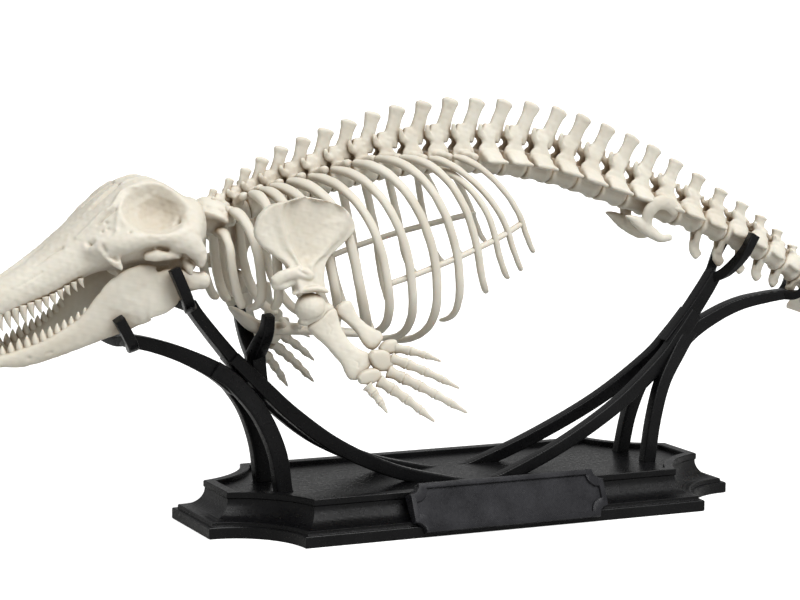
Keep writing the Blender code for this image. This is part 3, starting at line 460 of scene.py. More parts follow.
def spine_stations():
    """Centre, tangent, upward normal and spacing of each vertebra on the spine's line."""
    line = spline([(x, 0.0, z) for x, z in SPINE_LINE], 12)
    length = np.concatenate([[0], np.cumsum(np.linalg.norm(np.diff(line, axis=0), axis=1))])
    at, stations = FIRST_OFFSET, []
    for index in range(VERTEBRA_COUNT):
        centre, ahead, behind = (np.array([np.interp(at + step, length, line[:, k])
                                           for k in range(3)]) for step in (0, 1, -1))
        along = (ahead - behind) / np.linalg.norm(ahead - behind)
        up = np.array([-along[2], 0.0, along[0]])
        stations.append((centre, along, up, knots(SPACING, index)))
        at += knots(SPACING, index + 0.5)
    return stations


STATIONS = spine_stations()


def local_limb(index, rows, hint=(0, 1, 0), **more):
    """A limb whose rows are given along the spine, across it and up from the centre."""
    centre, along, up, _ = STATIONS[index]
    base = np.array([along, (0.0, 1.0, 0.0), up])
    rows = np.asarray(rows, float)
    placed = np.hstack([centre + rows[:, :3] @ base, rows[:, 3:]])
    return limb(placed, np.array(hint, float) @ base, **more)


def vertebral_body(index, radius, spacing):
    """Waisted drum with a raised lip at each end and a thinner disc behind it."""
    half = BODY_FILL * spacing / 2
    waist = 0.87 if index < LOIN_END else 0.79
    shape = ((-1.0, 0.95), (-0.9, 1.0), (-0.7, 1.0), (-0.35, waist + 0.03), (0.05, waist),
             (0.4, waist + 0.03), (0.7, 1.0), (0.9, 1.0), (1.0, 0.95))
    body = [(t * half, 0, 0, radius * k, radius * k) for t, k in shape]
    disc_end = spacing - half - 0.08
    disc = [(half * 0.8, 0, 0, radius - 0.75, radius - 0.75),
            (disc_end, 0, 0, radius - 0.75, radius - 0.75)]
    return [local_limb(index, body, square=2.35, ends=0.08, steps=4, count=28),
            local_limb(index, disc, square=2.2, ends=0, steps=1)]


def vertebra_skins(index):
    """Body, arch of two plates notched behind and in front, flared leaning spine, side
    wings and hooked front knobs. The arch's half length along the spine shrinks from the
    body's to that of the blade over the lower half of its rise."""
    _, along, up, spacing = STATIONS[index]
    radius, height = knots(BODY_RADIUS, index), knots(SPINE_HEIGHT, index)
    tip = np.array([knots(SPINE_LEAN, index), 0.0, height])
    tip_a, tip_u = tip @ along, tip @ up
    rise = tip_u - radius
    blade = knots(BLADE_HALF, index)
    lean = tip_a / tip_u
    skins = vertebral_body(index, radius, spacing) if index > 0 else []

    def at(share, shift=0.0):
        u = radius + rise * share
        return lean * (u - 0.4 * radius * (1 - share)) * 0.95 + shift, u

    spine = []
    for share, long_half, wide_half in ((0.2, 1.3, 1.5), (0.34, 1.28, 1.55),
                                        (0.46, 1.14, 1.35), (0.6, 1.04, 1.15),
                                        (0.76, 1.04, 1.1), (0.88, 1.2, 1.25),
                                        (0.94, 1.3, 1.4), (0.975, 1.18, 1.25),
                                        (1.0, 0.8, 0.7)):
        a, u = at(share, -0.03 * spacing * (1 - share))
        spine.append((a, 0, u, min(wide_half, 0.75 * blade), blade * long_half))
    skins.append(local_limb(index, spine, square=2.6, ends=0.3, count=28))

    def side_parts():
        inner = 0.55 * radius
        plate = [(0, -inner, 0.35 * radius, 0.8, 0.43 * spacing),
                 (0.0, -inner - 0.1, radius * 0.9, 0.85, 0.44 * spacing),
                 (0.0, -inner + 0.1, radius + 0.06 * rise, 0.8, 0.39 * spacing),
                 (0.0, -0.45 * radius, radius + 0.14 * rise, 0.75, 0.28 * spacing),
                 (-0.02 * spacing, -0.38 * radius, radius + 0.22 * rise, 0.8, 0.3 * spacing),
                 (-0.03 * spacing, -0.3 * radius, radius + 0.31 * rise, 0.8, 0.35 * spacing),
                 (-0.01 * spacing, -0.2 * radius, radius + 0.4 * rise, 0.75, 0.26 * spacing),
                 (0.01 * spacing, -0.08 * radius, radius + 0.5 * rise, 0.7, 0.18 * spacing)]
        made = [local_limb(index, plate, square=2.6, ends=0.5, count=26)]
        if index <= LAST_KNOB:
            size = 0.78 if index < FIRST_CHEVRON else 0.68
            out = 0.62 * radius if index > NECK_END else 0.5 * radius
            knob = [(-0.2 * spacing, -0.4 * radius, radius + 0.25 * rise, size * 1.1, size * 1.6),
                    (-0.36 * spacing, -0.8 * out, radius + 0.31 * rise, size, size * 1.6),
                    (-0.43 * spacing, -out, radius + 0.42 * rise, size * 0.85, size * 1.3),
                    (-0.42 * spacing, -out, radius + 0.51 * rise, size * 0.7, size)]
            made.append(local_limb(index, knob, ends=0.8))
        tail = [(0.16 * spacing, -1.2, radius + 0.34 * rise, 0.7, 1.3),
                (0.33 * spacing, -1.2, radius + 0.34 * rise, 0.45, 0.8)]
        made.append(local_limb(index, tail, ends=0.8))
        if 0 < index <= LAST_WING:
            span = knots(WING_SPAN, index)
            if index < CHEST_END:
                top = knots(WING_LIFT, index)
                root = 0.3 * radius + 0.4 * top
                wing = [(-0.02 * spacing, -0.25 * span, root + 0.5, 2.1, 0.32 * spacing),
                        (0.05 * spacing, -0.6 * span, (root + top) / 2 + 0.4, 1.5, 0.24 * spacing),
                        (0.12 * spacing, -0.88 * span, top + 0.1, 1.5, 1.75),
                        (0.15 * spacing, -1.0 * span, top, 1.3, 1.5)]
                made.append(local_limb(index, wing, hint=(0, 0, 1), square=2.3, ends=0.5))
            else:
                lift, chord = 0.35 * radius, knots(WING_CHORD, index) * spacing
                wing = [(0, -0.25 * span, lift + 1.0, 2.6, 0.42 * spacing),
                        (0.01 * spacing, -0.5 * span, lift + 0.5, 2.3, 0.42 * spacing),
                        (0.02 * spacing, -0.75 * span, lift - 0.2, 1.6, chord * 1.04),
                        (0.03 * spacing, -0.92 * span, lift - 0.7, 1.0, chord * 1.02),
                        (0.03 * spacing, -span, lift - 0.9, 0.7, chord * 0.96)]
                made.append(local_limb(index, wing, hint=(0, 0, 1), ends=0.45,
                                       square=3.2 if index < LOIN_END else 2.3))
                if index < LOIN_END:
                    corner = [(0.2 * spacing, -0.6 * span, lift - 0.1, 1.2, 1.7),
                              (0.47 * spacing, -0.95 * span, lift - 0.9, 0.7, 0.7)]
                    made.append(local_limb(index, corner, hint=(0, 0, 1), ends=0.8))
        return made

    return skins + both(side_parts)


def chevron_skins(index):
    """The hanging bone under the joint in front of a vertebra: two roots that meet."""
    radius, spacing = knots(BODY_RADIUS, index), STATIONS[index][3]
    reach = knots(CHEVRON_LENGTH, index)

    def root():
        return [local_limb(index, [(-0.4 * spacing, -0.45 * radius, -0.75 * radius, 0.8, 1.4),
                                   (-0.3 * spacing, -0.7, -radius - 0.35 * reach, 0.8, 1.6)],
                           ends=0.8)]

    blade = [(-0.32 * spacing, 0, -radius - 0.28 * reach, 1.2, 2.2),
             (-0.24 * spacing, 0, -radius - 0.52 * reach, 1.0, 2.1),
             (-0.46 * spacing + 0.45 * reach, 0, -radius * 0.5 - reach * 0.88, 0.8, 2.0)]
    return both(root) + [local_limb(index, blade)]


# The fold of the first neck bone and the hollows above and below it
ATLAS_LINES = (
    (1.1, [(-98.4, -7.4, 106.9, 1.0), (-95.6, -8.4, 106.3, 1.0), (-92.8, -8.8, 105.3, 1.0),
           (-90.0, -8.6, 103.4, 1.0), (-88.8, -7.6, 101.8, 0.9)]),
    (-1.6, [(-97.0, -7.4, 103.4, 1.7), (-94.0, -7.8, 102.4, 1.9), (-91.0, -7.4, 101.0, 1.6)]),
    (-0.9, [(-96.4, -6.2, 109.4, 1.2), (-93.4, -7.0, 109.0, 1.2), (-91.0, -7.0, 107.6, 1.0)]),
)


def atlas_skins():
    """The first neck bone: a broad plate folded along its middle, higher in front."""
    index = 0
    rows = [(-4.9, 0, 4.2, 7.2, 3.9), (-2.4, 0, 3.2, 8.8, 5.8), (0.6, 0, 2.2, 9.0, 6.2),
            (3.2, 0, 0.6, 8.8, 6.0), (4.4, 0, -0.4, 7.4, 5.2)]
    plate = local_limb(index, rows, square=1.45, ends=0.15, count=44)

    def side():
        return [local_limb(index, [(1.4, -4.0, -3.0, 2.2, 2.4), (2.2, -7.0, -4.6, 1.6, 2.0)])]

    return [plate] + both(side)


def finish_vertebra(index):
    """One vertebra in one skin, with its canal pressed open below the arch. The first
    neck bone has the carved fold instead."""
    skins = vertebra_skins(index)
    if index == 0:
        skin = relax(melt(skins + atlas_skins(), SPINE_VOXEL), 5)
        return roughen(carve(skin, ATLAS_LINES), *SPINE_WAVES)
    if FIRST_CHEVRON <= index <= LAST_CHEVRON:
        skins += chevron_skins(index)
    skin = relax(melt(skins, SPINE_VOXEL), 5)
    centre, along, up, spacing = STATIONS[index]
    canal = centre + up * (knots(BODY_RADIUS, index) + 1.2)
    rows = [(*(canal + along * t), 1.05) for t in (-spacing, 0, spacing)]
    return roughen(relax(press_line(skin, rows), 1), *SPINE_WAVES)


# Ribs


def rib_path(row):
    """Head, sweep round the chest and lower end of one left rib, on two quarter turns of
    a superellipse between the head, the widest point and the lower end."""
    index, lift, curve, widest, end, bow = row[:6]
    low = int(index)
    centre = STATIONS[low][0] * (1 - index + low) + STATIONS[low + 1][0] * (index - low)
    beside = knots(WING_SPAN, index) if lift > 0 else knots(BODY_RADIUS, index) + 0.8
    head = np.array([centre[0], beside + 0.6, centre[2] + lift])
    widest, end = np.array(widest), np.array(end)
    turn = np.radians((0, 9, 19, 31, 45, 60, 75, 90))[:, None]
    across, down = np.sin(turn) ** (2 / curve), 1 - np.cos(turn) ** (2 / curve)
    upper = head + (widest - head) * np.hstack([0.6 * across + 0.4 * down, across, down])
    turn = np.radians((12, 27, 44, 60, 72, 79))[:, None]
    down, inward = np.sin(turn) ** (2 / LOWER_CURVE), 1 - np.cos(turn) ** (2 / LOWER_CURVE)
    down, inward = down / down[-1], inward / inward[-1]
    lower = widest + (end - widest) * np.hstack([inward, inward, down])
    lower[:, :1] += bow * down * (1 - inward)
    return np.vstack([upper, lower]) * (1, -1, 1)


def rib_skin(row):
    """One left rib: a flat rod that swells below its head and thins at its lower end."""
    half, low = row[6:]
    wide = np.concatenate([half * np.array([1.0, 1.22, 1.2, 1.08, 1, 1, 1, 1]),
                           np.linspace(half, low, 6)])
    wide[-2:] *= (0.95, 0.7)
    rows = np.column_stack([rib_path(row), wide, wide * 0.78])
    return limb(rows, (1, 0, 0.25), count=22, square=2.3)


def rib_bar_skin():
    """The thin printed bar that joins the rear ribs inside, straight in side view."""
    rows = []
    for row in RIBS[FIRST_BARRED_RIB:]:
        z = RIB_BAR_FRONT[1] + RIB_BAR_SLOPE * (row[3][0] - RIB_BAR_FRONT[0])
        path = rib_path(row)[::-1]
        x, y = (np.interp(z, path[:, 2], path[:, k]) for k in (0, 1))
        rows.append((x, y + 0.8, z, 1.05, 1.05))
    return limb(rows, (0, 0, 1), count=12, steps=8)


# Breastbone, shoulder and flipper


def sternum_skin():
    """The breastbone, with the stumps of three ribs on each side."""
    rows = [(-84.5, 0, 73.6, 5.5, 0.9), (-80.4, 0, 70.2, 8.4, 1.8), (-76.6, 0, 67.4, 7.6, 2.4),
            (-72.0, 0, 66.6, 5.4, 2.3), (-64.0, 0, 66.0, 4.8, 2.0), (-54.0, 0, 65.2, 5.2, 1.8),
            (-44.0, 0, 63.8, 4.4, 1.5), (-32.0, 0, 62.4, 3.2, 1.1)]
    ribs = [limb([(x, -2.0, z, 1.3, 1.3), (x + 0.6, -7.6, z + 1.2, 1.2, 1.2)], (1, 0, 0))
            for x, z in ((-70.5, 67.4), (-64.6, 66.8), (-57.0, 66.0))]
    skins = [limb(rows, square=2.4, count=28)] + ribs + [mirror(s) for s in ribs]
    return relax(melt(skins, STERNUM_VOXEL), 5)


# Front edge x, rear edge x, height and depth of the shoulder blade, from the neck up
BLADE_OUTLINE = ((-77.2, -66.6, 83.0, -33.4), (-77.6, -66.9, 86.0, -33.3),
                 (-78.6, -66.6, 89.6, -33.0), (-81.0, -65.3, 92.9, -32.4),
                 (-84.6, -62.6, 95.6, -32.0), (-88.2, -58.8, 98.6, -31.7),
                 (-90.0, -55.6, 101.6, -31.4), (-90.0, -55.0, 104.6, -31.1),
                 (-88.4, -57.4, 108.4, -30.9), (-84.4, -61.6, 111.4, -30.7),
                 (-76.0, -69.0, 112.9, -30.6))


# Front and rear edge of its sunken panel: shares of the way up, and places across it
PANEL_FRONT = (0.26, 0.41, 0.62, 0.78, 1), (-0.175, -0.17, -0.213, -0.3, -0.4)
PANEL_REAR = (0.25, 0.37, 0.56, 0.71, 0.81, 1), (-0.07, 0.24, 0.28, 0.375, 0.7, 0.85)


def scapula_skin():
    """A fan-shaped blade on one grid: s runs up the blade, t across it from the front edge
    to the rear one. The outer face stands out by ridges that are bell curves of t, with
    the panel between them cut down by a step."""
    s = np.linspace(0, 1, 90)[:, None]
    t = np.linspace(-1, 1, 110)[None]
    rows = spline(BLADE_OUTLINE, 10)
    at = np.linspace(0, 1, len(rows))
    left, right, z, y = (np.interp(s[:, 0], at, rows[:, k])[:, None] for k in range(4))
    x = (left + right) / 2 + (right - left) / 2 * np.sin(t * np.pi / 2)
    height = z + 0.9 * s ** 4 * (1 - t ** 2) - 0.3 * s ** 3 * t ** 2
    rim = np.clip(1 - np.abs(t) ** 8, 0, 1) ** 0.5
    inside_left, inside_right = np.interp(s, *PANEL_FRONT), np.interp(s, *PANEL_REAR)
    fan = 1 / (1 + np.exp(-(t - inside_left) / 0.016)) / (1 + np.exp((t - inside_right) / 0.05))
    fan = fan * np.clip((s - 0.24) / 0.05, 0, 1)
    lobe = 1.0 * np.exp(-((t - inside_left / 2 + 0.5) / 0.3) ** 2) * np.clip(1.2 - 0.5 * s, 0, 1)
    ridge_front = 1.4 * np.exp(-((t - inside_left + 0.07) / 0.08) ** 2) * np.clip(1.15 - s, 0, 1)
    ridge_rear = (1.4 * np.exp(-((t - inside_right - 0.17) / 0.16) ** 2)
                  * np.clip(1.15 - 0.6 * s, 0, 1))
    low = np.clip((s - 0.14) / 0.12, 0, 1)
    ridge_front, ridge_rear = ridge_front * low, ridge_rear * low
    neck = 2.2 * np.exp(-(s / 0.22) ** 2) * np.clip(1 - t ** 2, 0, 1) ** 0.5
    edge = 0.5 * np.exp(-((1 - np.abs(t)) / 0.06) ** 2) + 0.45 * np.exp(-((1 - s) / 0.035) ** 2)
    bowed = 1.6 * (1 - t ** 2) * s * (1 - s) * 2
    outer = rim * (1.3 + lobe + ridge_front + ridge_rear + neck + edge - 1.15 * fan)
    inner = rim * (0.8 + neck + 0.5 * edge)
    front = np.stack([x, y - outer + bowed, height], -1)
    back = np.stack([x, y + inner + bowed, height], -1)
    blade = closed(np.concatenate([front, back[:, ::-1][:, 1:-1]], axis=1))
    hook = limb([(-72.6, -34.8, 88.4, 1.8, 1.8), (-75.6, -35.2, 89.4, 1.9, 2.2),
                 (-79.0, -35.4, 89.4, 1.6, 2.0), (-82.2, -35.2, 88.4, 1.6, 2.1),
                 (-84.0, -35.0, 87.0, 1.6, 2.2)])
    hook_low = limb([(-84.2, -34.8, 86.0, 1.3, 1.7), (-81.4, -34.8, 85.6, 1.3, 1.4),
                     (-78.6, -34.6, 86.6, 1.2, 1.4), (-75.6, -34.4, 87.6, 1.2, 1.8)])
    lip = limb([(-77.2, -34.2, 83.2, 2.2, 0.8), (-74.6, -36.0, 84.2, 1.9, 0.95),
                (-70.8, -36.6, 84.4, 1.9, 1.0), (-67.2, -35.2, 83.4, 2.1, 0.85)], count=18)
    skin = relax(melt([blade, hook, hook_low, lip], ARM_VOXEL), 2)
    skin = press_egg(skin, (-71.5, -34.0, 77.7), (5.5, 5.7, 5.5))
    skin = carve(skin, ((-0.5, [(-75.4, -36.2, 91.4, 0.6), (-76.2, -36.0, 94.6, 0.5),
                                (-77.8, -35.6, 99.0, 0.45)]),
                        (-0.6, [(-76.6, -36.6, 90.4, 0.7), (-74.0, -37.4, 89.0, 0.7)]),
                        (-0.3, [(-70.4, -38.0, 87.4, 0.6), (-68.6, -37.4, 89.8, 0.5)])))
    return roughen(relax(skin, 1), *ARM_WAVES)


def turn_in(skin):
    """The far blade: its height above the neck is scaled down, then it turns about the
    upright line through the far shoulder, so that its front edge lies nearer the neck."""
    points, quads, tris = mirror(skin)
    c, n = (f(math.radians(FAR_BLADE_TURN)) for f in (math.cos, math.sin))
    x, y, z = points.T
    dx, dy = x - SHOULDER[0], y + SHOULDER[1]
    low = np.where(z < BLADE_NECK, z, BLADE_NECK + (z - BLADE_NECK) * FAR_BLADE_HEIGHT)
    placed = np.stack([SHOULDER[0] + c * dx - n * dy, -SHOULDER[1] + n * dx + c * dy, low], -1)
    return placed, quads, tris


def humerus_skin():
    """The round head, short neck and two knobs of the upper arm."""
    x, y, z = SHOULDER
    ball = egg((x - 1.3, y - 0.6, z - 0.2), (5.25, 5.1, 5.1))
    neck = limb([(x - 0.4, y - 0.8, z - 1.4, 3.8, 4.6), (x + 0.6, y - 1.0, z - 3.0, 3.0, 5.2)],
                ends=0.35, square=2.5)
    wing = [egg((x + 4.2, y - 0.6, z - 0.9), (2.5, 2.5, 2.4), square=2.4),
            egg((x - 3.6, y - 1.2, z - 4.4), (1.8, 2.2, 1.4))]
    skin = relax(melt([ball, neck] + wing, ARM_VOXEL), 3)
    skin = carve(skin, ((-0.5, [(x - 5.6, y - 2.6, z - 3.6, 0.5),
                                (x - 2.0, y - 4.8, z - 3.4, 0.5),
                                (x + 1.6, y - 4.8, z - 1.8, 0.5),
                                (x + 3.2, y - 3.6, z + 2.2, 0.5)]),
                        (-0.25, [(x - 1.6, y - 6.0, z + 1.6, 0.3), (x - 0.6, y - 6.0, z, 0.3),
                                 (x - 1.2, y - 6.0, z - 2.0, 0.3)])))
    return roughen(skin, *ARM_WAVES)


def forearm_skin(rows):
    """A flat bone, waisted in the middle, with flared ends."""
    skin = relax(melt([limb(rows, square=2.7, ends=0.35, count=36)], ARM_VOXEL), 3)
    return roughen(skin, *FLAT_BONE_WAVES)


def radius_skin():
    """The front bone of the forearm, with two fine marks."""
    rows = [(-68.5, -35.2, 74.6, 2.3, 5.3), (-68.0, -35.4, 73.8, 2.4, 5.7),
            (-66.7, -36.2, 71.2, 2.1, 4.9), (-64.8, -37.4, 68.2, 1.9, 3.9),
            (-62.2, -38.9, 64.4, 1.8, 3.5), (-60.0, -40.0, 62.0, 1.9, 3.9),
            (-58.2, -40.9, 60.0, 2.1, 5.0), (-56.9, -41.5, 58.5, 2.2, 5.3),
            (-55.9, -42.0, 57.5, 1.9, 4.3)]
    skin = forearm_skin(rows)
    return carve(skin, ((-0.3, [(-67.0, -38.4, 72.8, 0.35), (-66.0, -38.8, 71.4, 0.35),
                                (-66.6, -39.0, 70.0, 0.35)]),
                        (-0.3, [(-59.6, -42.8, 61.2, 0.3), (-58.4, -43.2, 60.4, 0.3),
                                (-58.6, -43.4, 59.0, 0.3)])))


def ulna_skin():
    """The rear bone of the forearm."""
    return forearm_skin([(-60.8, -34.4, 78.4, 1.6, 2.4), (-60.2, -34.5, 77.5, 1.9, 3.3),
                         (-59.0, -34.9, 75.8, 1.8, 2.9), (-57.2, -35.8, 73.4, 1.6, 2.2),
                         (-55.0, -37.2, 70.8, 1.6, 2.2), (-52.8, -38.8, 68.2, 1.8, 3.1),
                         (-51.4, -39.8, 66.9, 1.9, 3.5), (-50.3, -40.4, 65.9, 1.7, 2.8)])


def digit_skin(root, tip, bones, size):
    """Finger bones in a row: the half width swells at both ends of each bone and drops
    sharply in the groove between two bones."""
    root, tip = np.array(root, float), np.array(tip, float)
    steps = 20
    at = np.linspace(0, bones, bones * steps + 1)
    part = at - np.floor(at)
    part[-1] = 1.0
    waist = 1 - 0.3 * np.sin(np.pi * part) ** 1.2
    waist *= 1 - 0.3 * np.exp(-((part - np.round(part)) / 0.045) ** 2)
    taper = 1 - 0.5 * (at / bones) ** 1.1
    last = np.clip(at - bones + 1, 0, 1)
    half = size * waist * taper * (1 - 0.75 * last ** 2)
    half[0] = 0.45 * size
    path = root + (tip - root) * (at / bones)[:, None]
    path[:, 2] += 0.6 * np.sin(np.pi * at / bones)
    return closed(path[:, None] + sections(path, 0.72 * half, half, (0, 1, 0.3), 20, 2.3)[1])


# Wrist stones as limb rows; root, tip, number of bones and half width of each digit
WRIST_STONES = (
    ((-49.6, -42.4, 63.6, 1.7, 1.7), (-47.6, -42.5, 64.8, 1.9, 2.3),
     (-45.0, -42.7, 65.3, 1.6, 2.0)),
    ((-53.9, -43.3, 62.9, 1.7, 1.6), (-51.8, -43.4, 61.6, 1.9, 3.2),
     (-49.8, -43.5, 60.3, 1.9, 3.5), (-47.6, -43.8, 58.8, 1.7, 2.0)),
    ((-58.4, -44.2, 54.9, 1.6, 1.4), (-56.6, -44.4, 55.6, 1.8, 2.3),
     (-53.8, -44.6, 56.2, 1.8, 2.4), (-51.8, -44.7, 55.8, 1.5, 1.6)),
)
DIGITS = (((-45.6, -43.0, 64.5), (-32.0, -50.1, 60.4), 3, 2.1),
          ((-47.6, -44.2, 61.5), (-27.1, -54.0, 51.8), 4, 2.3),
          ((-48.8, -44.8, 57.4), (-25.1, -56.0, 43.9), 5, 2.5),
          ((-52.2, -45.2, 54.6), (-36.0, -54.0, 41.4), 4, 2.5),
          ((-56.4, -45.3, 53.2), (-50.6, -49.0, 44.4), 3, 2.2))


def hand_skins():
    """Wrist stones with grooves between them, and five digits."""
    return ([limb(rows, square=3.4, ends=0.4, count=30) for rows in WRIST_STONES]
            + [digit_skin(*row) for row in DIGITS])


def pelvis_skin():
    """A hooked plate: one arm goes up to the spine, one tip points forward and one back."""
    y = -7.0
    rod = [(61.8, y, 100.8, 0.6, 0.5), (64.2, y, 99.8, 1.1, 1.4), (68.0, y, 97.6, 1.4, 2.4),
           (72.4, y, 94.6, 1.4, 2.2), (76.4, y, 92.4, 1.2, 1.6), (80.2, y, 92.6, 0.9, 1.3)]
    strut = [(70.2, y, 96.6, 1.3, 2.4), (70.2, y - 0.4, 99.6, 1.3, 2.2),
             (70.8, y - 1.2, 102.6, 1.4, 2.5), (73.8, y - 1.7, 105.2, 1.4, 2.6),
             (78.0, y - 1.6, 104.8, 1.3, 2.5), (81.6, y - 0.8, 102.0, 1.2, 2.2)]
    skin = relax(melt([limb(rod, count=24), limb(strut, count=24)], SPINE_VOXEL), 6)
    return roughen(skin, *FLAT_BONE_WAVES)


# Skull

# x, height of the widest line, half width, top, bottom, squareness above and below
SKULL_ROWS = (
    (-178.4, 75.0, 1.6, 76.8, 72.8, 2.0, 2.0), (-176.8, 75.8, 4.2, 79.4, 71.8, 2.2, 2.4),
    (-172.5, 77.4, 6.2, 82.8, 72.8, 2.3, 2.8), (-167.0, 79.8, 7.6, 86.9, 74.6, 2.3, 3.0),
    (-160.0, 83.2, 9.2, 91.2, 77.6, 2.3, 3.0), (-152.0, 87.0, 11.0, 96.6, 80.6, 2.3, 3.0),
    (-145.0, 90.6, 12.8, 102.0, 84.2, 2.3, 2.8), (-139.0, 94.0, 14.8, 107.0, 87.2, 2.2, 2.6),
    (-133.5, 97.2, 17.6, 111.8, 88.8, 2.2, 2.4), (-127.5, 100.0, 19.6, 116.0, 89.2, 2.3, 2.3),
    (-121.5, 101.6, 20.4, 118.6, 89.2, 2.5, 2.3), (-116.0, 102.0, 20.6, 119.0, 89.2, 2.6, 2.3),
    (-110.0, 101.8, 20.4, 116.4, 90.0, 2.6, 2.3), (-105.0, 101.2, 18.6, 112.8, 91.0, 2.5, 2.3),
    (-101.0, 100.8, 14.0, 108.8, 92.8, 2.3, 2.3), (-98.8, 100.6, 7.5, 105.0, 95.8, 2.2, 2.2),
)
# Height above the skin (a groove's is below 0), then x, y, z and half width of the line
SKULL_LINES = (
    (0.8, [(-132.0, -18.4, 103.4, 0.8), (-131.4, -16.6, 107.0, 0.8), (-128.8, -14.0, 111.8, 0.8),
           (-125.6, -11.8, 115.4, 0.8), (-121.7, -11.0, 117.3, 0.8), (-118.0, -11.2, 118.0, 0.9),
           (-114.6, -12.0, 117.4, 0.9), (-111.6, -13.6, 115.2, 0.9), (-109.6, -15.6, 112.0, 0.9),
           (-109.0, -17.8, 108.0, 0.8)]),
    (0.8, [(-122.6, -10.4, 117.2, 0.9), (-126.3, -9.2, 115.4, 0.9), (-128.9, -10.7, 113.1, 0.9),
           (-131.4, -12.1, 110.4, 0.9), (-134.6, -10.9, 107.8, 0.9), (-138.2, -10.6, 104.7, 0.8),
           (-142.6, -10.4, 101.0, 0.7)]),
    (-0.9, [(-130.8, -13.5, 109.4, 0.6), (-133.2, -12.9, 108.0, 0.6),
            (-136.4, -12.5, 105.2, 0.5)]),
    (-0.8, [(-161.5, -5.0, 86.8, 0.5), (-157.2, -6.6, 90.0, 0.5), (-153.7, -7.4, 92.8, 0.5),
            (-149.6, -8.0, 95.8, 0.5), (-147.0, -9.0, 97.4, 0.45)]),
    (-0.6, [(-166.0, -6.4, 82.6, 0.45), (-160.0, -8.2, 86.0, 0.45), (-154.0, -9.6, 89.8, 0.45)]),
    (-1.4, [(-126.3, -2.7, 116.0, 1.0), (-128.9, -3.3, 114.4, 1.2), (-131.1, -3.8, 112.8, 1.2),
            (-135.4, -4.4, 109.8, 0.9)]),
    (0.7, [(-124.8, -3.6, 117.6, 1.1), (-121.8, -3.8, 119.2, 1.3), (-117.6, -4.6, 119.6, 1.4)]),
    (-0.7, [(-134.1, -14.3, 105.5, 0.5)]), (-0.7, [(-135.7, -15.0, 102.8, 0.45)]),
    (-0.6, [(-134.0, -15.8, 103.8, 0.45)]),
    (-2.6, [(-139.8, -14.6, 99.0, 1.1), (-138.8, -15.0, 99.2, 1.1)]),
    (-0.8, [(-145.5, -14.0, 96.0, 0.7)]),
    (-0.9, [(-128.4, -21.0, 103.1, 0.45)]), (-1.0, [(-117.0, -20.1, 103.9, 0.6)]),
    (-0.35, [(-123.3, -15.1, 107.5, 0.4), (-122.2, -15.7, 106.6, 0.4),
             (-121.1, -16.5, 105.6, 0.4)]),
    (0.5, [(-127.4, -14.3, 111.7, 0.9), (-126.0, -15.0, 108.9, 0.9), (-125.7, -17.2, 106.5, 0.8)]),
    (-1.6, [(-136.3, -18.2, 98.4, 0.75), (-135.0, -19.4, 95.4, 0.7),
            (-133.0, -20.4, 94.8, 0.7), (-131.2, -21.4, 94.0, 0.6)]),
    (-2.6, [(-111.4, -17.0, 105.6, 0.9), (-110.8, -15.6, 109.2, 0.9)]),
    (-0.9, [(-122.4, -19.6, 93.6, 0.6), (-122.6, -19.4, 95.4, 0.5)]),
    (-0.3, [(-128.4, -21.8, 99.6, 0.45), (-124.6, -22.6, 101.0, 0.45),
            (-121.0, -23.4, 100.6, 0.45), (-117.4, -24.0, 101.6, 0.45)]),
    (-0.25, [(-127.0, -22.0, 100.8, 0.4), (-123.0, -22.8, 102.2, 0.4)]),
    (-0.5, [(-103.4, -14.0, 98.0, 1.2), (-102.8, -11.0, 103.0, 1.2)]),
    (-0.9, [(-110.6, -22.0, 94.8, 1.0), (-107.6, -20.6, 95.0, 0.8)]),
)


def hull_skin(rows, steps, count):
    """Rings across the length, each a superellipse with its own height above and below
    its widest line."""
    table = spline(rows, steps)
    x, mid, half, top, bottom, square_up, square_down = (table[:, k:k + 1] for k in range(7))
    turn = np.linspace(0, 2 * np.pi, count, endpoint=False)[None]
    c, s = np.cos(turn), np.sin(turn)
    power = 2 / np.where(s > 0, square_up, square_down)
    y = np.sign(c) * np.abs(c) ** power * half
    reach = np.where(s > 0, top - mid, mid - bottom)
    z = mid + np.sign(s) * np.abs(s) ** power * reach
    return closed(np.stack([x + np.zeros_like(y), y, z], -1))


def skull_side():
    """The left side's bars and knobs."""
    lobe = [(-114.0, -21.4, 99.6, 2.2, 3.2), (-109.4, -21.8, 99.0, 2.6, 4.2),
            (-106.2, -21.8, 96.2, 2.5, 3.4), (-105.0, -21.8, 94.0, 2.1, 2.5),
            (-104.9, -21.8, 92.4, 1.6, 1.8)]
    tear = [(-134.6, -18.6, 96.6, 1.5, 2.8), (-132.8, -19.4, 93.9, 1.2, 2.0),
            (-131.0, -20.0, 91.4, 0.7, 0.8)]
    ear = [(-122.6, -20.6, 95.0, 1.3, 1.5), (-119.8, -21.4, 95.3, 1.6, 1.9),
           (-116.0, -21.2, 95.0, 1.4, 1.5), (-111.6, -20.8, 94.6, 0.9, 0.8)]
    return [limb(lobe), limb(tear), limb(ear, count=24),
            egg((-100.4, -4.7, 101.0), (2.8, 3.9, 5.6)),
            egg((-118.5, -6.0, 89.5), (9.5, 4.6, 4.6)),
            egg((-108.0, -14.0, 92.0), (4.6, 4.6, 4.0)),
            limb([(-109.0, -19.0, 92.8, 1.3, 1.4), (-108.5, -20.2, 91.0, 1.6, 1.7),
                  (-108.0, -20.4, 89.4, 1.4, 1.3)])]


# Hollows pressed in on both sides: x, distance from the midline, z, half sizes, tilt in
# degrees
SKULL_HOLLOWS = (((-118.8, 20.4, 113.2), (12.9, 10.8, 11.2), 41),
                 ((-116.6, 17.6, 111.4), (8.0, 9.6, 7.4), 41),
                 ((-119.0, 27.2, 91.4), (11.4, 10.0, 7.6), 0))
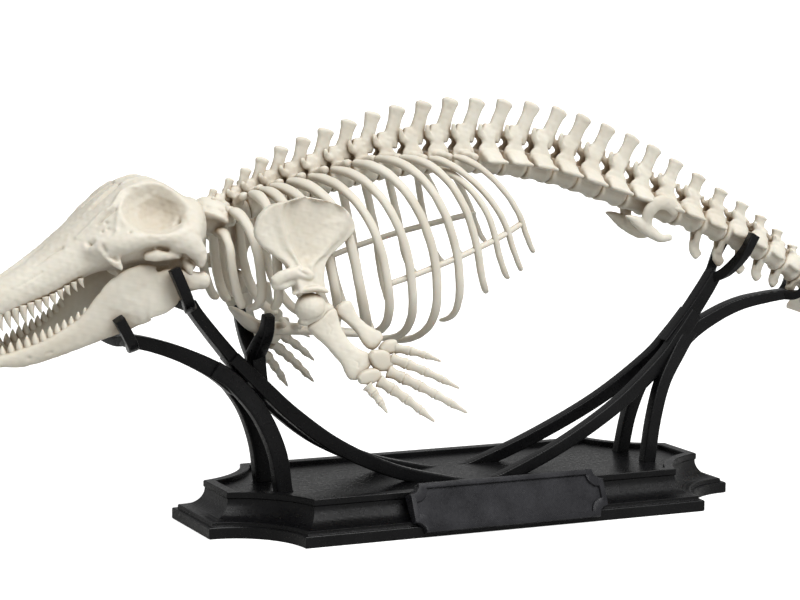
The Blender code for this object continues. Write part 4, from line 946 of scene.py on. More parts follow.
# Groove along the top of the beak: x, y, z and radius of the round tool
BEAK_GROOVE = ((-181.0, 0, 80.8, 2.5), (-172.0, 0, 85.2, 2.5), (-164.0, 0, 90.0, 2.4),
               (-156.0, 0, 95.2, 2.1), (-149.0, 0, 100.0, 1.3))


def skull_skin():
    """Beak and cranium, with the hollows pressed in and the fine lines carved."""
    core = hull_skin(SKULL_ROWS, 6, 84)
    cheek = limb([(-138.0, -13.6, 97.6, 3.6, 3.4), (-132.0, -17.6, 98.6, 4.0, 4.2),
                  (-126.0, -20.6, 100.4, 3.0, 3.4), (-119.0, -21.6, 101.2, 2.6, 2.9),
                  (-112.0, -21.2, 100.6, 3.0, 4.2), (-107.4, -19.4, 100.0, 4.0, 7.0)], count=30)
    nape = egg((-104.2, -10.5, 103.2), (4.8, 9.2, 9.8))
    skin = relax(melt([core, cheek, mirror(cheek), nape, mirror(nape)], SKULL_VOXEL), 7)
    for side in (-1, 1):
        for (x, y, z), radii, tilt in SKULL_HOLLOWS:
            c, s = math.cos(math.radians(tilt)), math.sin(math.radians(tilt))
            turn = ((1, 0, 0), (0, side * c, s), (0, -side * s, c))
            skin = press_egg(skin, (x, side * y, z), radii, turn)
    skin = relax(melt([skin], SKULL_FINE_VOXEL), 7)
    skin = press_line(skin, BEAK_GROOVE)
    skin = relax(melt([skin] + both(skull_side), SKULL_LAST_VOXEL), 4)
    return roughen(relax(carve(skin, SKULL_LINES), 1), *SKULL_WAVES)


def tooth_skin(root, tip, size, stout):
    """A pointed cone: the half width falls by a power of the way from gum to tip."""
    root, tip = np.array(root, float), np.array(tip, float)
    t = np.linspace(0, 1, 12)[:, None]
    path = root + (tip - root) * t + np.array([-0.3, 0, 0]) * np.sin(np.pi * t)
    half = size * (1 - 0.9 * np.clip((t[:, 0] - 0.12) / 0.88, 0, 1) ** stout)
    return closed(path[:, None] + sections(path, half, half, (0, 1, 0), 16, 2.0)[1])


def teeth_skin(count, length, size, row):
    """Left and right rows of cones, which shrink and crowd towards the cheek."""
    gum, start, crowding, most, least, gain, root_shift, tip_shift, share, stout = row

    def side():
        teeth = []
        for number in range(count):
            x = start + TOOTH_PITCH * number - crowding * number ** 2
            y, z, reach = (float(np.interp(x, gum[0], values)) for values in gum[1:])
            root = np.array([x, y, z]) + root_shift
            tip = np.array([x, y, z + share * reach * length / 5.0]) + tip_shift
            teeth.append(tooth_skin(root, tip, size * min(most, least + gain * reach), stout))
        return teeth

    return gather(both(side))


# Lower jaw

# x, y and z of the middle, half width, half height
JAW_ROWS = (
    (-173.6, 1.2, 60.9, 1.5, 0.9), (-170.6, 3.2, 61.0, 2.2, 1.6), (-166.0, 5.2, 61.5, 2.4, 2.1),
    (-160.0, 7.2, 62.5, 2.4, 3.0), (-152.0, 9.6, 65.3, 2.4, 3.5), (-144.0, 11.8, 69.0, 2.3, 4.3),
    (-138.5, 13.4, 72.2, 2.2, 5.4), (-132.0, 15.4, 77.0, 1.9, 8.0), (-127.4, 16.8, 80.6, 1.7, 9.3),
    (-122.0, 17.9, 83.1, 1.6, 9.4), (-117.8, 18.6, 83.0, 1.5, 7.4), (-113.3, 19.1, 85.3, 1.5, 5.8),
    (-109.6, 19.6, 86.3, 1.7, 4.0), (-105.6, 19.8, 86.4, 2.0, 3.0), (-102.8, 19.8, 86.4, 2.2, 2.6),
)
# Gum lines: x, then y, height and tooth length there
UPPER_GUM = ((-176, -166.6, -159.3, -156, -150, -145.9, -141.2, -139.5),
             (-2.6, -5.5, -7.6, -8.3, -9.9, -11.1, -12.7, -13.2),
             (72.6, 75.6, 78.2, 79.4, 81.8, 84.4, 86.9, 88.0),
             (4.2, 4.3, 4.8, 3.4, 2.2, 1.9, 1.6, 1.4))
LOWER_GUM = ((-173, -165.2, -160.1, -154.7, -148.9, -144, -138.1),
             (-2.4, -5.0, -7.0, -9.0, -10.4, -11.7, -13.6),
             (62.2, 63.2, 65.1, 67.3, 69.6, 72.7, 77.2),
             (3.0, 3.4, 4.0, 4.0, 4.1, 3.5, 3.0))

TOOTH_PITCH = 2.62
# Gum line, first x, how fast teeth crowd, most and least share of the half width and its
# gain with length, shift of the root, shift of the tip, direction and share of the length,
# power of the taper. The lower teeth are stout cones that lean a little forward.
UPPER_TEETH = (UPPER_GUM, -174.6, 0.021, 1.0, 0.45, 0.16, (0, 0.2, 1.4), (1.2, 0, 0), -1.0, 1.3)
LOWER_TEETH = (LOWER_GUM, -172.9, 0.02, 1.05, 0.55, 0.13, (0.3, 0, -1.2), (-0.6, 0.1, 0), 0.92,
               1.9)


def jaw_skin():
    """Two jaw bones and the chin that joins them."""
    def side():
        rows = [(x, -y, z, wide, high) for x, y, z, wide, high in JAW_ROWS]
        return [limb(rows, square=2.5, count=34, ends=0.8),
                egg((-103.6, -19.8, 86.4), (2.9, 2.5, 3.0))]

    chin = limb([(-172.8, 0, 61.2, 2.2, 1.0), (-168.0, 0, 61.0, 4.0, 1.4),
                 (-161.0, 0, 61.4, 6.0, 1.5), (-156.0, 0, 62.6, 7.0, 1.1)], square=2.4)
    skin = relax(melt(both(side) + [chin], JAW_VOXEL), 4)
    skin = carve(skin, ((-0.7, [(-158.8, -10.6, 62.6, 0.6)]), (-0.8, [(-153.3, -12.2, 64.0, 0.5),
                                                                     (-151.8, -12.4, 64.4, 0.4)]),
                        (-0.4, [(-126.0, -19.6, 84.0, 5.0), (-118.0, -20.6, 84.4, 5.0)])))
    return roughen(skin, *JAW_WAVES)


# Flukes


# Where the flukes start, their slope in degrees, and distance out, front edge and rear edge
FLUKE_ROOT, FLUKE_SLOPE = (146.0, 0, 70.6), 37.0
FLUKE_ROWS = ((3.8, 0.6, 26.0), (12.0, 4.0, 27.4), (22.0, 9.4, 26.4), (32.0, 15.6, 24.6),
              (38.0, 19.4, 23.4), (40.5, 21.6, 22.6))


def fluke_skin():
    """Left lobe: half thickness fades to the edges and the tip."""
    slope = math.radians(FLUKE_SLOPE)
    along = np.array([math.cos(slope), 0, -math.sin(slope)])
    up = np.array([math.sin(slope), 0, math.cos(slope)])
    rows = spline(FLUKE_ROWS, 8)
    out, front, back = rows[:, 0:1], rows[:, 1:2], rows[:, 2:3]
    turn = np.linspace(0, 2 * np.pi, 48, endpoint=False)[None]
    chord = (front + back) / 2 - (back - front) / 2 * np.cos(turn)
    thick = 0.95 * (1 - (out - out[0]) / 60) * np.sin(turn)
    thick = thick * (1 + 0.25 * np.cos(turn))
    ribs = 1 + 0.1 * np.cos(chord * 1.3 + out * 0.2)
    rings = (np.array(FLUKE_ROOT) + chord[..., None] * along
             + (thick * ribs)[..., None] * up - out[..., None] * np.array([0, 1.0, 0]))
    return closed(rings)


# Board, plaque and supports


def floor_skin():
    """A flat disc whose outer part rises with the square of the distance past its flat
    middle, as a studio backdrop does."""
    r = np.concatenate([[1, 500], np.linspace(FLAT_FLOOR, FLOOR_RADIUS, 30)])[:, None]
    turn = np.linspace(0, 2 * np.pi, 96, endpoint=False)[None]
    z = FLOOR_RISE * np.clip(r - FLAT_FLOOR, 0, None) ** 2 + 0 * turn
    points = np.stack([r * np.cos(turn), r * np.sin(turn), z], -1).reshape(-1, 3)
    return points, ring_quads(len(r), turn.size)[:, ::-1], np.empty((0, 3), int)


def board_outline(inset):
    """Points round the board at an inset; its four corners are cut by inward arcs."""
    half_x, half_y = BOARD_LENGTH / 2, BOARD_WIDTH / 2
    radius = CORNER_RADIUS + 0.9 * inset
    reach = math.asin(min(inset / radius, 1.0))
    rings = []
    for sx, sy, start in ((-1, -1, 0), (1, -1, 90), (1, 1, 180), (-1, 1, 270)):
        turn = np.linspace(math.radians(90 + start) - reach, math.radians(start) + reach,
                           ARC_STEPS)
        rings.append(np.stack([sx * half_x + radius * np.cos(turn),
                               sy * half_y + radius * np.sin(turn)], -1))
    return np.vstack(rings)


def board_skin():
    """The moulding's profile carried round the outline: plinth, cove, rim and floor."""
    under = BOARD_HEIGHT - RIM_FACE
    profile = [(0.35, 0.0), (0.0, 0.35), (0.0, PLINTH_HEIGHT - 0.3), (0.3, PLINTH_HEIGHT),
               (1.4, PLINTH_HEIGHT + 0.05), (1.6, 4.4), (1.6, 5.0), (1.9, 5.2)]
    turn = np.radians(np.linspace(8, 90, 10))
    profile += list(zip(2.2 + 7.0 * np.sin(turn), 5.3 + 6.3 * (1 - np.cos(turn))))
    profile += [(RIM_INSET + 0.1, under + 0.15), (RIM_INSET, under + 0.3),
                (RIM_INSET, BOARD_HEIGHT - 0.3), (RIM_INSET + 0.3, BOARD_HEIGHT),
                (RIM_INSET + RIM_WIDTH - 0.3, BOARD_HEIGHT),
                (RIM_INSET + RIM_WIDTH, BOARD_HEIGHT - 0.3),
                (RIM_INSET + RIM_WIDTH, BOARD_FLOOR)]
    rings = [np.column_stack([board_outline(d), np.full(4 * ARC_STEPS, z)])
             for d, z in profile]
    return closed(np.array(rings))


def plaque_ring(inset, depth):
    """The plaque's outline with a square notch cut across each corner, at a depth."""
    rise, run = PLAQUE_TOP - PLAQUE_BOTTOM, PLAQUE_FRONT_LOW - PLAQUE_FRONT_HIGH
    slant = math.hypot(rise, run)
    up, out = np.array([0, run, rise]) / slant, np.array([0, -rise, run]) / slant
    centre = np.array([0, -(PLAQUE_FRONT_LOW + PLAQUE_FRONT_HIGH) / 2,
                       (PLAQUE_BOTTOM + PLAQUE_TOP) / 2])
    length, half = PLAQUE_HALF_LENGTH - inset, slant / 2 - inset
    notch = PLAQUE_NOTCH + 0.4 * inset
    turn = np.linspace(0, math.pi / 2, 7)
    points = []
    for sx, sy in ((-1, -1), (1, -1), (1, 1), (-1, 1)):
        arc = np.stack([sx * (length - notch * np.cos(turn)), sy * (half - notch * np.sin(turn))],
                       -1)
        points.append(arc if sx * sy < 0 else arc[::-1])
    flat = np.vstack(points)
    return centre + np.outer(flat[:, 0], (1, 0, 0)) + np.outer(flat[:, 1], up) + out * depth


def plaque_skin():
    """Rings from the back to the sunken face; the back ends in front of the board's cove."""
    rings = [plaque_ring(0.2, -3.4), plaque_ring(0, -3.2), plaque_ring(0, -0.35),
             plaque_ring(0.1, -0.1), plaque_ring(0.35, 0.0), plaque_ring(PLAQUE_BORDER - 0.2, 0.0),
             plaque_ring(PLAQUE_BORDER, -0.15), plaque_ring(PLAQUE_BORDER + 0.15, -PLAQUE_RECESS)]
    rings = np.array(rings)
    rings[:2, :, 1] = np.where(rings[:2, :, 2] > BOARD_HEIGHT - RIM_FACE,
                               -BOARD_WIDTH / 2 + RIM_INSET - 0.6, rings[:2, :, 1])
    return closed(rings)


def ribbon(points, thick, wide):
    """A rod of the stand: a rounded rectangle, wide across the model, along a line."""
    count = len(points)
    rows = np.column_stack([points, np.broadcast_to(wide, count), np.broadcast_to(thick, count)])
    return limb(rows, (0, 1, 0), count=40, steps=8, square=9.0, ends=0.1)


def sided(points, thick, wide):
    """The same rod on both sides of the midline."""
    rod = ribbon([(x, -y, z) for x, y, z in points], thick, wide)
    return [rod, mirror(rod)]


def prongs(points, radius):
    """A cradle's two prongs, one on each side of the midline."""
    size = np.broadcast_to(radius, len(points))
    rows = [(x, -y, z, r, r) for (x, y, z), r in zip(points, size)]
    prong = limb(rows, (1, 0, 0.3), count=32, steps=8, square=7.0, ends=0.1)
    return [prong, mirror(prong)]


def footed(skins):
    """The rods of a support as one skin, its feet cut level where they meet the board."""
    points, quads, tris = gather(skins)
    points[:, 2] = np.maximum(points[:, 2], BOARD_FLOOR + 0.02)
    return points, quads, tris


def front_support_skin():
    """Steep legs, long legs, the arm with the cradle of the jaw, the arm with the clips and
    the prop below the skull, and the post with the cradle of the chest."""
    low = BOARD_FLOOR - 2.0
    skins = sided([(-69.8, 9.1, low), (-70.4, 9.0, low + 3), (-72.4, 8.4, 26.0),
                   (-77.8, 6.2, 39.0), (-86.0, 3.2, 49.5), (-92.0, 1.6, 54.0)], 2.9, 2.3)
    skins += sided([(-4.0, 11.0, low), (-11.0, 10.7, low + 1.2), (-30.0, 10.2, 16.6),
                    (-50.0, 9.0, 26.0), (-66.0, 7.0, 37.8), (-78.0, 4.4, 49.6),
                    (-86.0, 3.0, 57.7)], [2.0, 2.2, 2.4, 2.6, 2.6, 2.4, 2.2], 2.2)
    skins.append(ribbon([(-84.0, 0, 47.0), (-92.0, 0, 53.6), (-103.0, 0, 59.2),
                         (-114.0, 0, 63.2), (-123.4, 0, 65.4)], [2.8, 3.0, 2.6, 2.3, 2.2], 2.9))
    skins += prongs([(-121.5, 0.0, 65.2), (-123.6, 8.0, 64.4), (-126.6, 17.2, 66.8),
                     (-132.0, 20.2, 75.2)], 1.8)
    skins.append(ribbon([(-80.0, 0, 50.4), (-86.0, 0, 57.7), (-92.4, 0, 65.4),
                         (-98.2, 0, 72.8), (-100.6, 0, 76.6)], [2.2, 2.2, 2.1, 2.0, 1.9],
                        [4.6, 4.2, 3.5, 3.1, 3.1]))
    skins += prongs([(-99.8, 0.0, 75.4), (-103.4, 8.0, 76.8), (-106.8, 16.0, 77.4),
                     (-109.6, 22.6, 80.6), (-112.6, 24.0, 86.6), (-114.6, 23.8, 91.0)], 1.8)
    skins.append(ribbon([(-99.4, 0, 74.8), (-103.8, 0, 81.0), (-106.6, 0, 88.9)], 1.6, 1.6))
    skins.append(ribbon([(-74.4, 0, 42.0), (-76.0, 0, 50.0), (-77.2, 0, 59.4)],
                        [2.8, 2.7, 2.6], [2.5, 3.0, 4.2]))
    skins += prongs([(-77.2, 0.0, 57.2), (-77.4, 5.6, 61.8), (-77.4, 11.0, 67.2),
                     (-77.6, 13.2, 72.8)], [2.6, 2.5, 2.1, 1.8])
    return footed(skins)


def rear_support_skin():
    """Steep legs, long legs, the arms to the tail and to the loin, and their cradles."""
    low = BOARD_FLOOR - 2.0
    skins = sided([(71.2, 9.6, low), (71.6, 9.4, low + 3), (74.0, 8.5, 27.0), (78.6, 6.7, 40.2),
                   (86.0, 4.0, 50.6), (92.0, 2.2, 58.0)], [2.4, 2.4, 2.4, 2.5, 2.8, 2.8], 2.2)
    skins += sided([(6.0, 12.0, low), (12.6, 11.6, low + 1.2), (36.0, 9.8, 20.9),
                    (59.6, 7.0, 33.2), (78.6, 4.2, 46.9), (87.0, 3.0, 55.6), (94.0, 2.2, 64.0)],
                   [2.0, 2.2, 2.3, 2.4, 2.6, 2.6, 2.6], 2.1)
    skins.append(ribbon([(84.0, 0, 47.0), (93.4, 0, 56.4), (104.4, 0, 62.6), (115.0, 0, 66.4),
                         (126.0, 0, 68.2), (134.4, 0, 69.0)], [2.6, 2.7, 2.4, 2.2, 2.0, 1.8], 2.6))
    skins.append(ribbon([(84.0, 0, 53.0), (92.0, 0, 62.0), (99.0, 0, 71.4), (103.4, 0, 78.0)],
                        [2.8, 2.8, 2.6, 2.4], 2.8))
    skins += prongs([(101.8, 0.0, 75.8), (105.6, 5.0, 79.0), (110.6, 8.4, 85.6),
                     (114.8, 8.6, 92.4)], 1.8)
    skins += prongs([(132.6, 0.0, 68.8), (137.0, 4.8, 69.2), (140.6, 7.2, 72.6),
                     (142.6, 7.2, 76.6)], 1.5)
    return footed(skins)


# Finishes

# Size of the grain in metres, range of roughness, and strength and depth of the relief
BONE_GRAIN, BONE_ROUGHNESS, BONE_RELIEF = 0.0022, (0.5, 0.64), (0.22, 0.00006)
BLACK_GRAIN, BLACK_ROUGHNESS, BLACK_RELIEF_DEPTH = 0.0012, (0.24, 0.38), 0.00012
# Slant of the bones' print layers
BONE_LAYERS = (0, 0.12, 1)


def link(tree, out_socket, in_socket):
    """Joins two sockets of a node tree."""
    tree.links.new(out_socket, in_socket)


def math_node(tree, operation, first, second=None):
    """A Math node; each value is a number or a socket."""
    made = tree.nodes.new("ShaderNodeMath")
    made.operation = operation
    for socket, value in zip(made.inputs, (first, second)):
        if value is None:
            continue
        if isinstance(value, (int, float)):
            socket.default_value = value
        else:
            link(tree, value, socket)
    return made.outputs[0]


def print_layers_group():
    """Fine ridges across a direction, as the layers of a print, and a soft uneven tone."""
    group = bpy.data.node_groups.new("print layers", "ShaderNodeTree")
    face = group.interface
    for name, value in (("Pitch", 0.0004), ("Wander", 0.3), ("Grain Size", 0.002)):
        socket = face.new_socket(name, in_out="INPUT", socket_type="NodeSocketFloat")
        socket.default_value = value
    face.new_socket("Direction", in_out="INPUT", socket_type="NodeSocketVector")
    for name in ("Height", "Tone", "Broad Tone"):
        face.new_socket(name, in_out="OUTPUT", socket_type="NodeSocketFloat")
    given = group.nodes.new("NodeGroupInput")
    result = group.nodes.new("NodeGroupOutput")
    place = group.nodes.new("ShaderNodeTexCoord")
    dot = group.nodes.new("ShaderNodeVectorMath")
    dot.operation = "DOT_PRODUCT"
    link(group, place.outputs["Object"], dot.inputs[0])
    link(group, given.outputs["Direction"], dot.inputs[1])

    def noise(scale_socket, detail):
        made = group.nodes.new("ShaderNodeTexNoise")
        link(group, place.outputs["Object"], made.inputs["Vector"])
        link(group, scale_socket, made.inputs["Scale"])
        made.inputs["Detail"].default_value = detail
        return made.outputs["Fac"]

    fine_scale = math_node(group, "DIVIDE", 1.0, given.outputs["Grain Size"])
    broad_scale = math_node(group, "MULTIPLY", fine_scale, 0.12)
    fine, broad = noise(fine_scale, 3.0), noise(broad_scale, 2.0)
    steps = math_node(group, "DIVIDE", dot.outputs["Value"], given.outputs["Pitch"])
    wander = math_node(group, "MULTIPLY", broad, given.outputs["Wander"])
    phase = math_node(group, "MULTIPLY", math_node(group, "ADD", steps, wander), 2 * math.pi)
    ridge = math_node(group, "SINE", phase)
    ridge = math_node(group, "MULTIPLY", math_node(group, "ADD", ridge, 1.0), 0.5)
    grain = math_node(group, "MULTIPLY", fine, 0.6)
    link(group, math_node(group, "ADD", ridge, grain), result.inputs["Height"])
    link(group, fine, result.inputs["Tone"])
    link(group, broad, result.inputs["Broad Tone"])
    return group


def mix_colours(tree, factor, first, second):
    """A colour mix; the factor is a socket, and each colour is a socket or four numbers."""
    made = tree.nodes.new("ShaderNodeMix")
    made.data_type = "RGBA"
    link(tree, factor, made.inputs[0])
    for socket, value in zip((made.inputs[6], made.inputs[7]), (first, second)):
        if isinstance(value, tuple):
            socket.default_value = value
        else:
            link(tree, value, socket)
    return made.outputs[2]


def spread(tree, value, low, high, to_low=0.0, to_high=1.0):
    """A Map Range node that clamps."""
    made = tree.nodes.new("ShaderNodeMapRange")
    link(tree, value, made.inputs["Value"])
    set_inputs(made, {"From Min": low, "From Max": high, "To Min": to_low, "To Max": to_high})
    return made.outputs["Result"]


def set_inputs(node, values):
    """Sets the node's own sockets to constant values, by name."""
    for name, value in values.items():
        node.inputs[name].default_value = value


def four(colour, lift=1.0):
    """The colour times lift, with full opacity."""
    return (*(c * lift for c in colour), 1.0)


def start_plastic(name, pitch, direction, grain, colours, low, rough, bump):
    """A material with the print-layer group placed in it: its tones, roughness and bump.
    The tone runs between two colours, from a low value of the broad noise up to 0.7."""
    look = bpy.data.materials.new(name)
    look.use_nodes = True
    tree = look.node_tree
    shader = tree.nodes["Principled BSDF"]
    layers = tree.nodes.new("ShaderNodeGroup")
    layers.node_tree = bpy.data.node_groups["print layers"]
    set_inputs(layers, {"Pitch": pitch * MM, "Direction": direction, "Grain Size": grain})
    tone = spread(tree, layers.outputs["Broad Tone"], low, 0.7)
    colour = mix_colours(tree, tone, *colours)
    link(tree, spread(tree, layers.outputs["Tone"], 0.3, 0.7, *rough), shader.inputs["Roughness"])
    relief = tree.nodes.new("ShaderNodeBump")
    set_inputs(relief, {"Strength": bump[0], "Distance": bump[1]})
    link(tree, layers.outputs["Height"], relief.inputs["Height"])
    link(tree, relief.outputs["Normal"], shader.inputs["Normal"])
    return tree, shader, colour


def ivory_material(name, settings, lift=1.0, reach=8.0):
    """Warm ivory plastic: uneven tone, painted shade that turns the colour tan in crevices and
    between bones up to a reach in mm, and light under the skin."""
    tree, shader, base = start_plastic(
        name, settings.layer_pitch, BONE_LAYERS, BONE_GRAIN,
        (four(settings.bone_colour, lift), four(settings.bone_shade, lift)), 0.35,
        BONE_ROUGHNESS, BONE_RELIEF)
    # Painted shade: where the surface is enclosed within the reach, the colour is mixed towards
    # the tan crevice colour, standing in for the shade and warm light between the bones
    crevice = tree.nodes.new("ShaderNodeAmbientOcclusion")
    crevice.samples = 8
    set_inputs(crevice, {"Distance": reach * MM})
    painted_shade_mask = spread(tree, crevice.outputs["AO"], 0.2, 0.9, 1.0, 0.0)
    painted_shade_mask = math_node(tree, "MULTIPLY", painted_shade_mask, 0.9)
    colour = mix_colours(tree, painted_shade_mask, base, four(settings.painted_crevice_shade))
    link(tree, colour, shader.inputs["Base Color"])
    set_inputs(shader, {"Subsurface Weight": 0.18, "Subsurface Radius": (1.0, 0.6, 0.35),
                        "Subsurface Scale": 0.0015, "Specular IOR Level": 0.4})


def black_material(name, settings, direction=(0, 0, 1), pitch=0.35, strength=0.3, lift=1.0):
    """Black satin plastic with fine print lines; lift makes it greyer."""
    tree, shader, colour = start_plastic(
        name, pitch, direction, BLACK_GRAIN,
        (four(settings.black_colour, lift), four(settings.black_worn, lift)), 0.3,
        BLACK_ROUGHNESS, (strength, BLACK_RELIEF_DEPTH))
    link(tree, colour, shader.inputs["Base Color"])
    set_inputs(shader, {"Specular IOR Level": 0.2})


# Add-on


class FinishSettings(bpy.types.PropertyGroup):
    """Colours and print lines of the plastics."""

    bone_colour: FloatVectorProperty(name="Bone", description="Colour of the lit bone plastic",
                                     subtype="COLOR", size=3, default=(0.72, 0.685, 0.595))
    bone_shade: FloatVectorProperty(name="Bone shade", description="Its darker, uneven tone",
                                    subtype="COLOR", size=3, default=(0.64, 0.595, 0.5))
    # Painted shade: the tan that the ivory takes in crevices and between bones, where shade and
    # warm light fall
    painted_crevice_shade: FloatVectorProperty(name="Crevice", description="Colour deep between bones",
                                      subtype="COLOR", size=3, default=(0.30, 0.205, 0.115))
    black_colour: FloatVectorProperty(name="Black", description="Colour of the stand's plastic",
                                      subtype="COLOR", size=3, default=(0.0015, 0.0015, 0.0018))
    black_worn: FloatVectorProperty(name="Worn black", description="Its lighter, uneven tone",
                                    subtype="COLOR", size=3, default=(0.004, 0.004, 0.0045))
    layer_pitch: FloatProperty(name="Layer pitch", description="Height of one print layer in mm",
                               default=0.45, min=0.1, max=1.0)


class ToothSettings(bpy.types.PropertyGroup):
    """The rows of teeth."""

    upper: IntProperty(name="Upper teeth", description="Teeth on each side above", default=15)
    lower: IntProperty(name="Lower teeth", description="Teeth on each side below", default=15)
    length: FloatProperty(name="Length", description="Length of the front teeth in mm",
                          default=5.0)
    size: FloatProperty(name="Half width", description="Half width of a tooth in mm",
                        default=1.38)


class StageSettings(bpy.types.PropertyGroup):
    """Floor and light."""

    floor: FloatVectorProperty(name="Floor", description="Colour of the plain floor",
                               subtype="COLOR", size=3, default=(0.5, 0.5, 0.49))
    world: FloatProperty(name="Sky", description="Strength of the even light", default=0.36)
    key: FloatProperty(name="Key light", description="Strength of the main soft light",
                       default=3.0)
    fill: FloatProperty(name="Fill light", description="Strength of the second soft light",
                        default=0.3)
    glow: FloatProperty(name="Floor glow", description="Own light of the floor, which keeps it "
                        "as white as a studio table", default=0.86)


class ORCA_OT_finishes(bpy.types.Operator):
    """Make the plastics."""

    bl_idname = "orca.finishes"
    bl_label = "Plastics"

    def execute(self, context):
        print_layers_group()
        settings = context.scene.orca_finish
        ivory_material("ivory_plastic", settings)
        # Skull and jaw: the painted crevice shade reaches twice as far, darkening the mouth and
        # the skull's hollows
        ivory_material("skull_plastic", settings, reach=16.0)
        ivory_material("tooth_plastic", settings, lift=1.03)
        black_material("black_plastic", settings)
        black_material("plaque_plastic", settings, direction=(0.7, 0.3, 0.65), pitch=0.55,
                       strength=0.5, lift=6.5)
        return {"FINISHED"}


class ORCA_OT_skull(bpy.types.Operator):
    """Build the skull and its teeth."""

    bl_idname = "orca.skull"
    bl_label = "Skull"

    def execute(self, context):
        teeth = context.scene.orca_teeth
        bone("skull_bone", skull_skin(), "skull", "skull_plastic")
        bone("upper_teeth", teeth_skin(teeth.upper, teeth.length, teeth.size, UPPER_TEETH),
             "skull", "tooth_plastic")
        return {"FINISHED"}


class ORCA_OT_lower_jaw(bpy.types.Operator):
    """Build the lower jaw and its teeth."""

    bl_idname = "orca.lower_jaw"
    bl_label = "Lower jaw"

    def execute(self, context):
        teeth = context.scene.orca_teeth
        bone("jaw_bone", jaw_skin(), "lower_jaw", "skull_plastic")
        bone("lower_teeth", teeth_skin(teeth.lower, teeth.length, teeth.size, LOWER_TEETH),
             "lower_jaw", "tooth_plastic")
        return {"FINISHED"}


class ORCA_OT_spine(bpy.types.Operator):
    """Build the 32 vertebrae."""

    bl_idname = "orca.spine"
    bl_label = "Spine"

    def execute(self, context):
        for index in range(VERTEBRA_COUNT):
            node = ("spine_neck" if index < NECK_END else "spine_chest" if index < CHEST_END
                    else "spine_loin" if index < LOIN_END else "spine_tail")
            bone(f"vertebra_{index + 1:02d}", finish_vertebra(index), node)
        return {"FINISHED"}


class ORCA_OT_ribs(bpy.types.Operator):
    """Build the ribs and the bars inside them."""

    bl_idname = "orca.ribs"
    bl_label = "Ribs"

    def execute(self, context):
        for number, row in enumerate(RIBS, 1):
            bone_pair("rib", roughen(rib_skin(row), *RIB_WAVES), "ribs", f"_{number:02d}")
        bone_pair("rib_bar", rib_bar_skin(), "ribs")
        bone("breastbone", sternum_skin(), "sternum")
        return {"FINISHED"}


class ORCA_OT_flippers(bpy.types.Operator):
    """Build both shoulder blades, arms and hands."""

    bl_idname = "orca.flippers"
    bl_label = "Flippers"

    def execute(self, context):
        bone_pair("shoulder_blade", scapula_skin(), "scapula", place_far=turn_in)
        for name, node, skin in (("upper_arm", "humerus", humerus_skin()),
                                 ("forearm_front", "radius", radius_skin()),
                                 ("forearm_rear", "ulna", ulna_skin()),
                                 ("hand_bones", "hand", gather(hand_skins()))):
            bone_pair(name, skin, node, place_far=swing_far)
        return {"FINISHED"}


class ORCA_OT_tail(bpy.types.Operator):
    """Build the hip bones and the flukes."""

    bl_idname = "orca.tail"
    bl_label = "Hips and flukes"

    def execute(self, context):
        bone_pair("hip", pelvis_skin(), "pelvis")
        bone_pair("fluke_lobe", fluke_skin(), "fluke")
        return {"FINISHED"}


class ORCA_OT_board(bpy.types.Operator):
    """Build the moulded board and its bare plaque."""

    bl_idname = "orca.board"
    bl_label = "Board and plaque"

    def execute(self, context):
        piece("display_board", board_skin(), "black_plastic", ["stand_base"],
              BOARD_SHARP)
        piece("bare_plaque", plaque_skin(), "plaque_plastic", ["stand_plaque"],
              BOARD_SHARP)
        return {"FINISHED"}


class ORCA_OT_supports(bpy.types.Operator):
    """Build the two branching supports."""

    bl_idname = "orca.supports"
    bl_label = "Supports"

    def execute(self, context):
        piece("front_support", front_support_skin(), "black_plastic", ["stand_front"],
              SUPPORT_SHARP)
        piece("rear_support", rear_support_skin(), "black_plastic", ["stand_rear"],
              SUPPORT_SHARP)
        return {"FINISHED"}


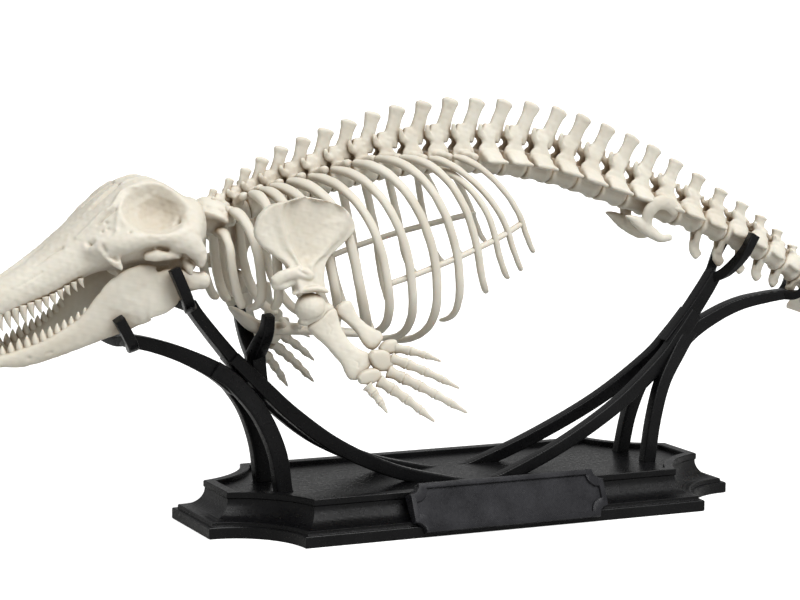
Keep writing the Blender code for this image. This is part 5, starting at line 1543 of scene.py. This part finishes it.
class ORCA_OT_stage(bpy.types.Operator):
    """Set the floor, the soft lights and the camera."""

    bl_idname = "orca.stage"
    bl_label = "Stage"

    def execute(self, context):
        scene = context.scene
        settings = scene.orca_stage
        look = bpy.data.materials.new("pale_floor")
        look.use_nodes = True
        shader = look.node_tree.nodes["Principled BSDF"]
        set_inputs(shader, {"Base Color": four(settings.floor), "Roughness": 0.9,
                            "Specular IOR Level": 0.1, "Emission Color": (1.0, 1.0, 1.0, 1.0)})
        seen = look.node_tree.nodes.new("ShaderNodeLightPath").outputs["Is Camera Ray"]
        glow = math_node(look.node_tree, "MULTIPLY", seen, settings.glow)
        link(look.node_tree, glow, shader.inputs["Emission Strength"])
        floor = raw_object("floor", floor_skin())
        floor.data.polygons.foreach_set("use_smooth", [True] * len(floor.data.polygons))
        floor.data.materials.append(look)

        world = bpy.data.worlds.new("studio")
        world.use_nodes = True
        set_inputs(world.node_tree.nodes["Background"],
                   {"Color": (1.0, 1.0, 1.0, 1.0), "Strength": settings.world})
        scene.world = world
        for name, (towards, width), power in (("key", KEY_LIGHT, settings.key),
                                              ("fill", FILL_LIGHT, settings.fill)):
            lamp = bpy.data.lights.new(name, "SUN")
            lamp.angle = math.radians(width)
            lamp.energy = power
            made = bpy.data.objects.new(name, lamp)
            made.rotation_euler = Vector(towards).to_track_quat("Z", "Y").to_euler()
            scene.collection.objects.link(made)

        azimuth, elevation, roll = (math.radians(a) for a in
                                    (CAMERA_AZIMUTH, CAMERA_ELEVATION, CAMERA_ROLL))
        back = Vector((math.sin(azimuth) * math.cos(elevation),
                       -math.cos(azimuth) * math.cos(elevation), math.sin(elevation)))
        right = Vector((math.cos(azimuth), math.sin(azimuth), 0))
        up = back.cross(right)
        across = right * math.cos(roll) + up * math.sin(roll)
        upward = up * math.cos(roll) - right * math.sin(roll)
        lens = bpy.data.cameras.new("camera")
        lens.lens, lens.sensor_width = CAMERA_LENS, SENSOR
        lens.clip_start, lens.clip_end = 0.05, 50.0
        camera = bpy.data.objects.new("camera", lens)
        turn = Matrix((across, upward, back)).transposed().to_4x4()
        camera.matrix_world = Matrix.Translation(Vector(CAMERA_PLACE) * MM) @ turn
        scene.collection.objects.link(camera)
        scene.camera = camera
        scene.view_settings.view_transform = "Standard"
        return {"FINISHED"}


class ORCA_PT_panel(bpy.types.Panel):
    """Buttons for each piece of the model."""

    bl_label = "Orca model"
    bl_idname = "ORCA_PT_panel"
    bl_space_type = "VIEW_3D"
    bl_region_type = "UI"
    bl_category = "Orca model"

    def draw(self, context):
        for settings in (context.scene.orca_finish, context.scene.orca_teeth,
                         context.scene.orca_stage):
            box = self.layout.box()
            for name in settings.__annotations__:
                box.prop(settings, name)
        for operator in OPERATORS:
            self.layout.operator(operator.bl_idname)


SETTINGS = (("orca_finish", FinishSettings), ("orca_teeth", ToothSettings),
            ("orca_stage", StageSettings))
OPERATORS = (ORCA_OT_finishes, ORCA_OT_skull, ORCA_OT_lower_jaw, ORCA_OT_spine, ORCA_OT_ribs,
             ORCA_OT_flippers, ORCA_OT_tail, ORCA_OT_board, ORCA_OT_supports, ORCA_OT_stage)


def register():
    for name, group in SETTINGS:
        bpy.utils.register_class(group)
        setattr(bpy.types.Scene, name, PointerProperty(type=group))
    for made in OPERATORS + (ORCA_PT_panel,):
        bpy.utils.register_class(made)


def unregister():
    for made in (ORCA_PT_panel,) + OPERATORS[::-1]:
        bpy.utils.unregister_class(made)
    for name, group in SETTINGS[::-1]:
        delattr(bpy.types.Scene, name)
        bpy.utils.unregister_class(group)


def main():
    register()
    for operator in OPERATORS:
        getattr(bpy.ops.orca, operator.bl_idname.split(".")[1])()


if __name__ == "__main__":
    main()
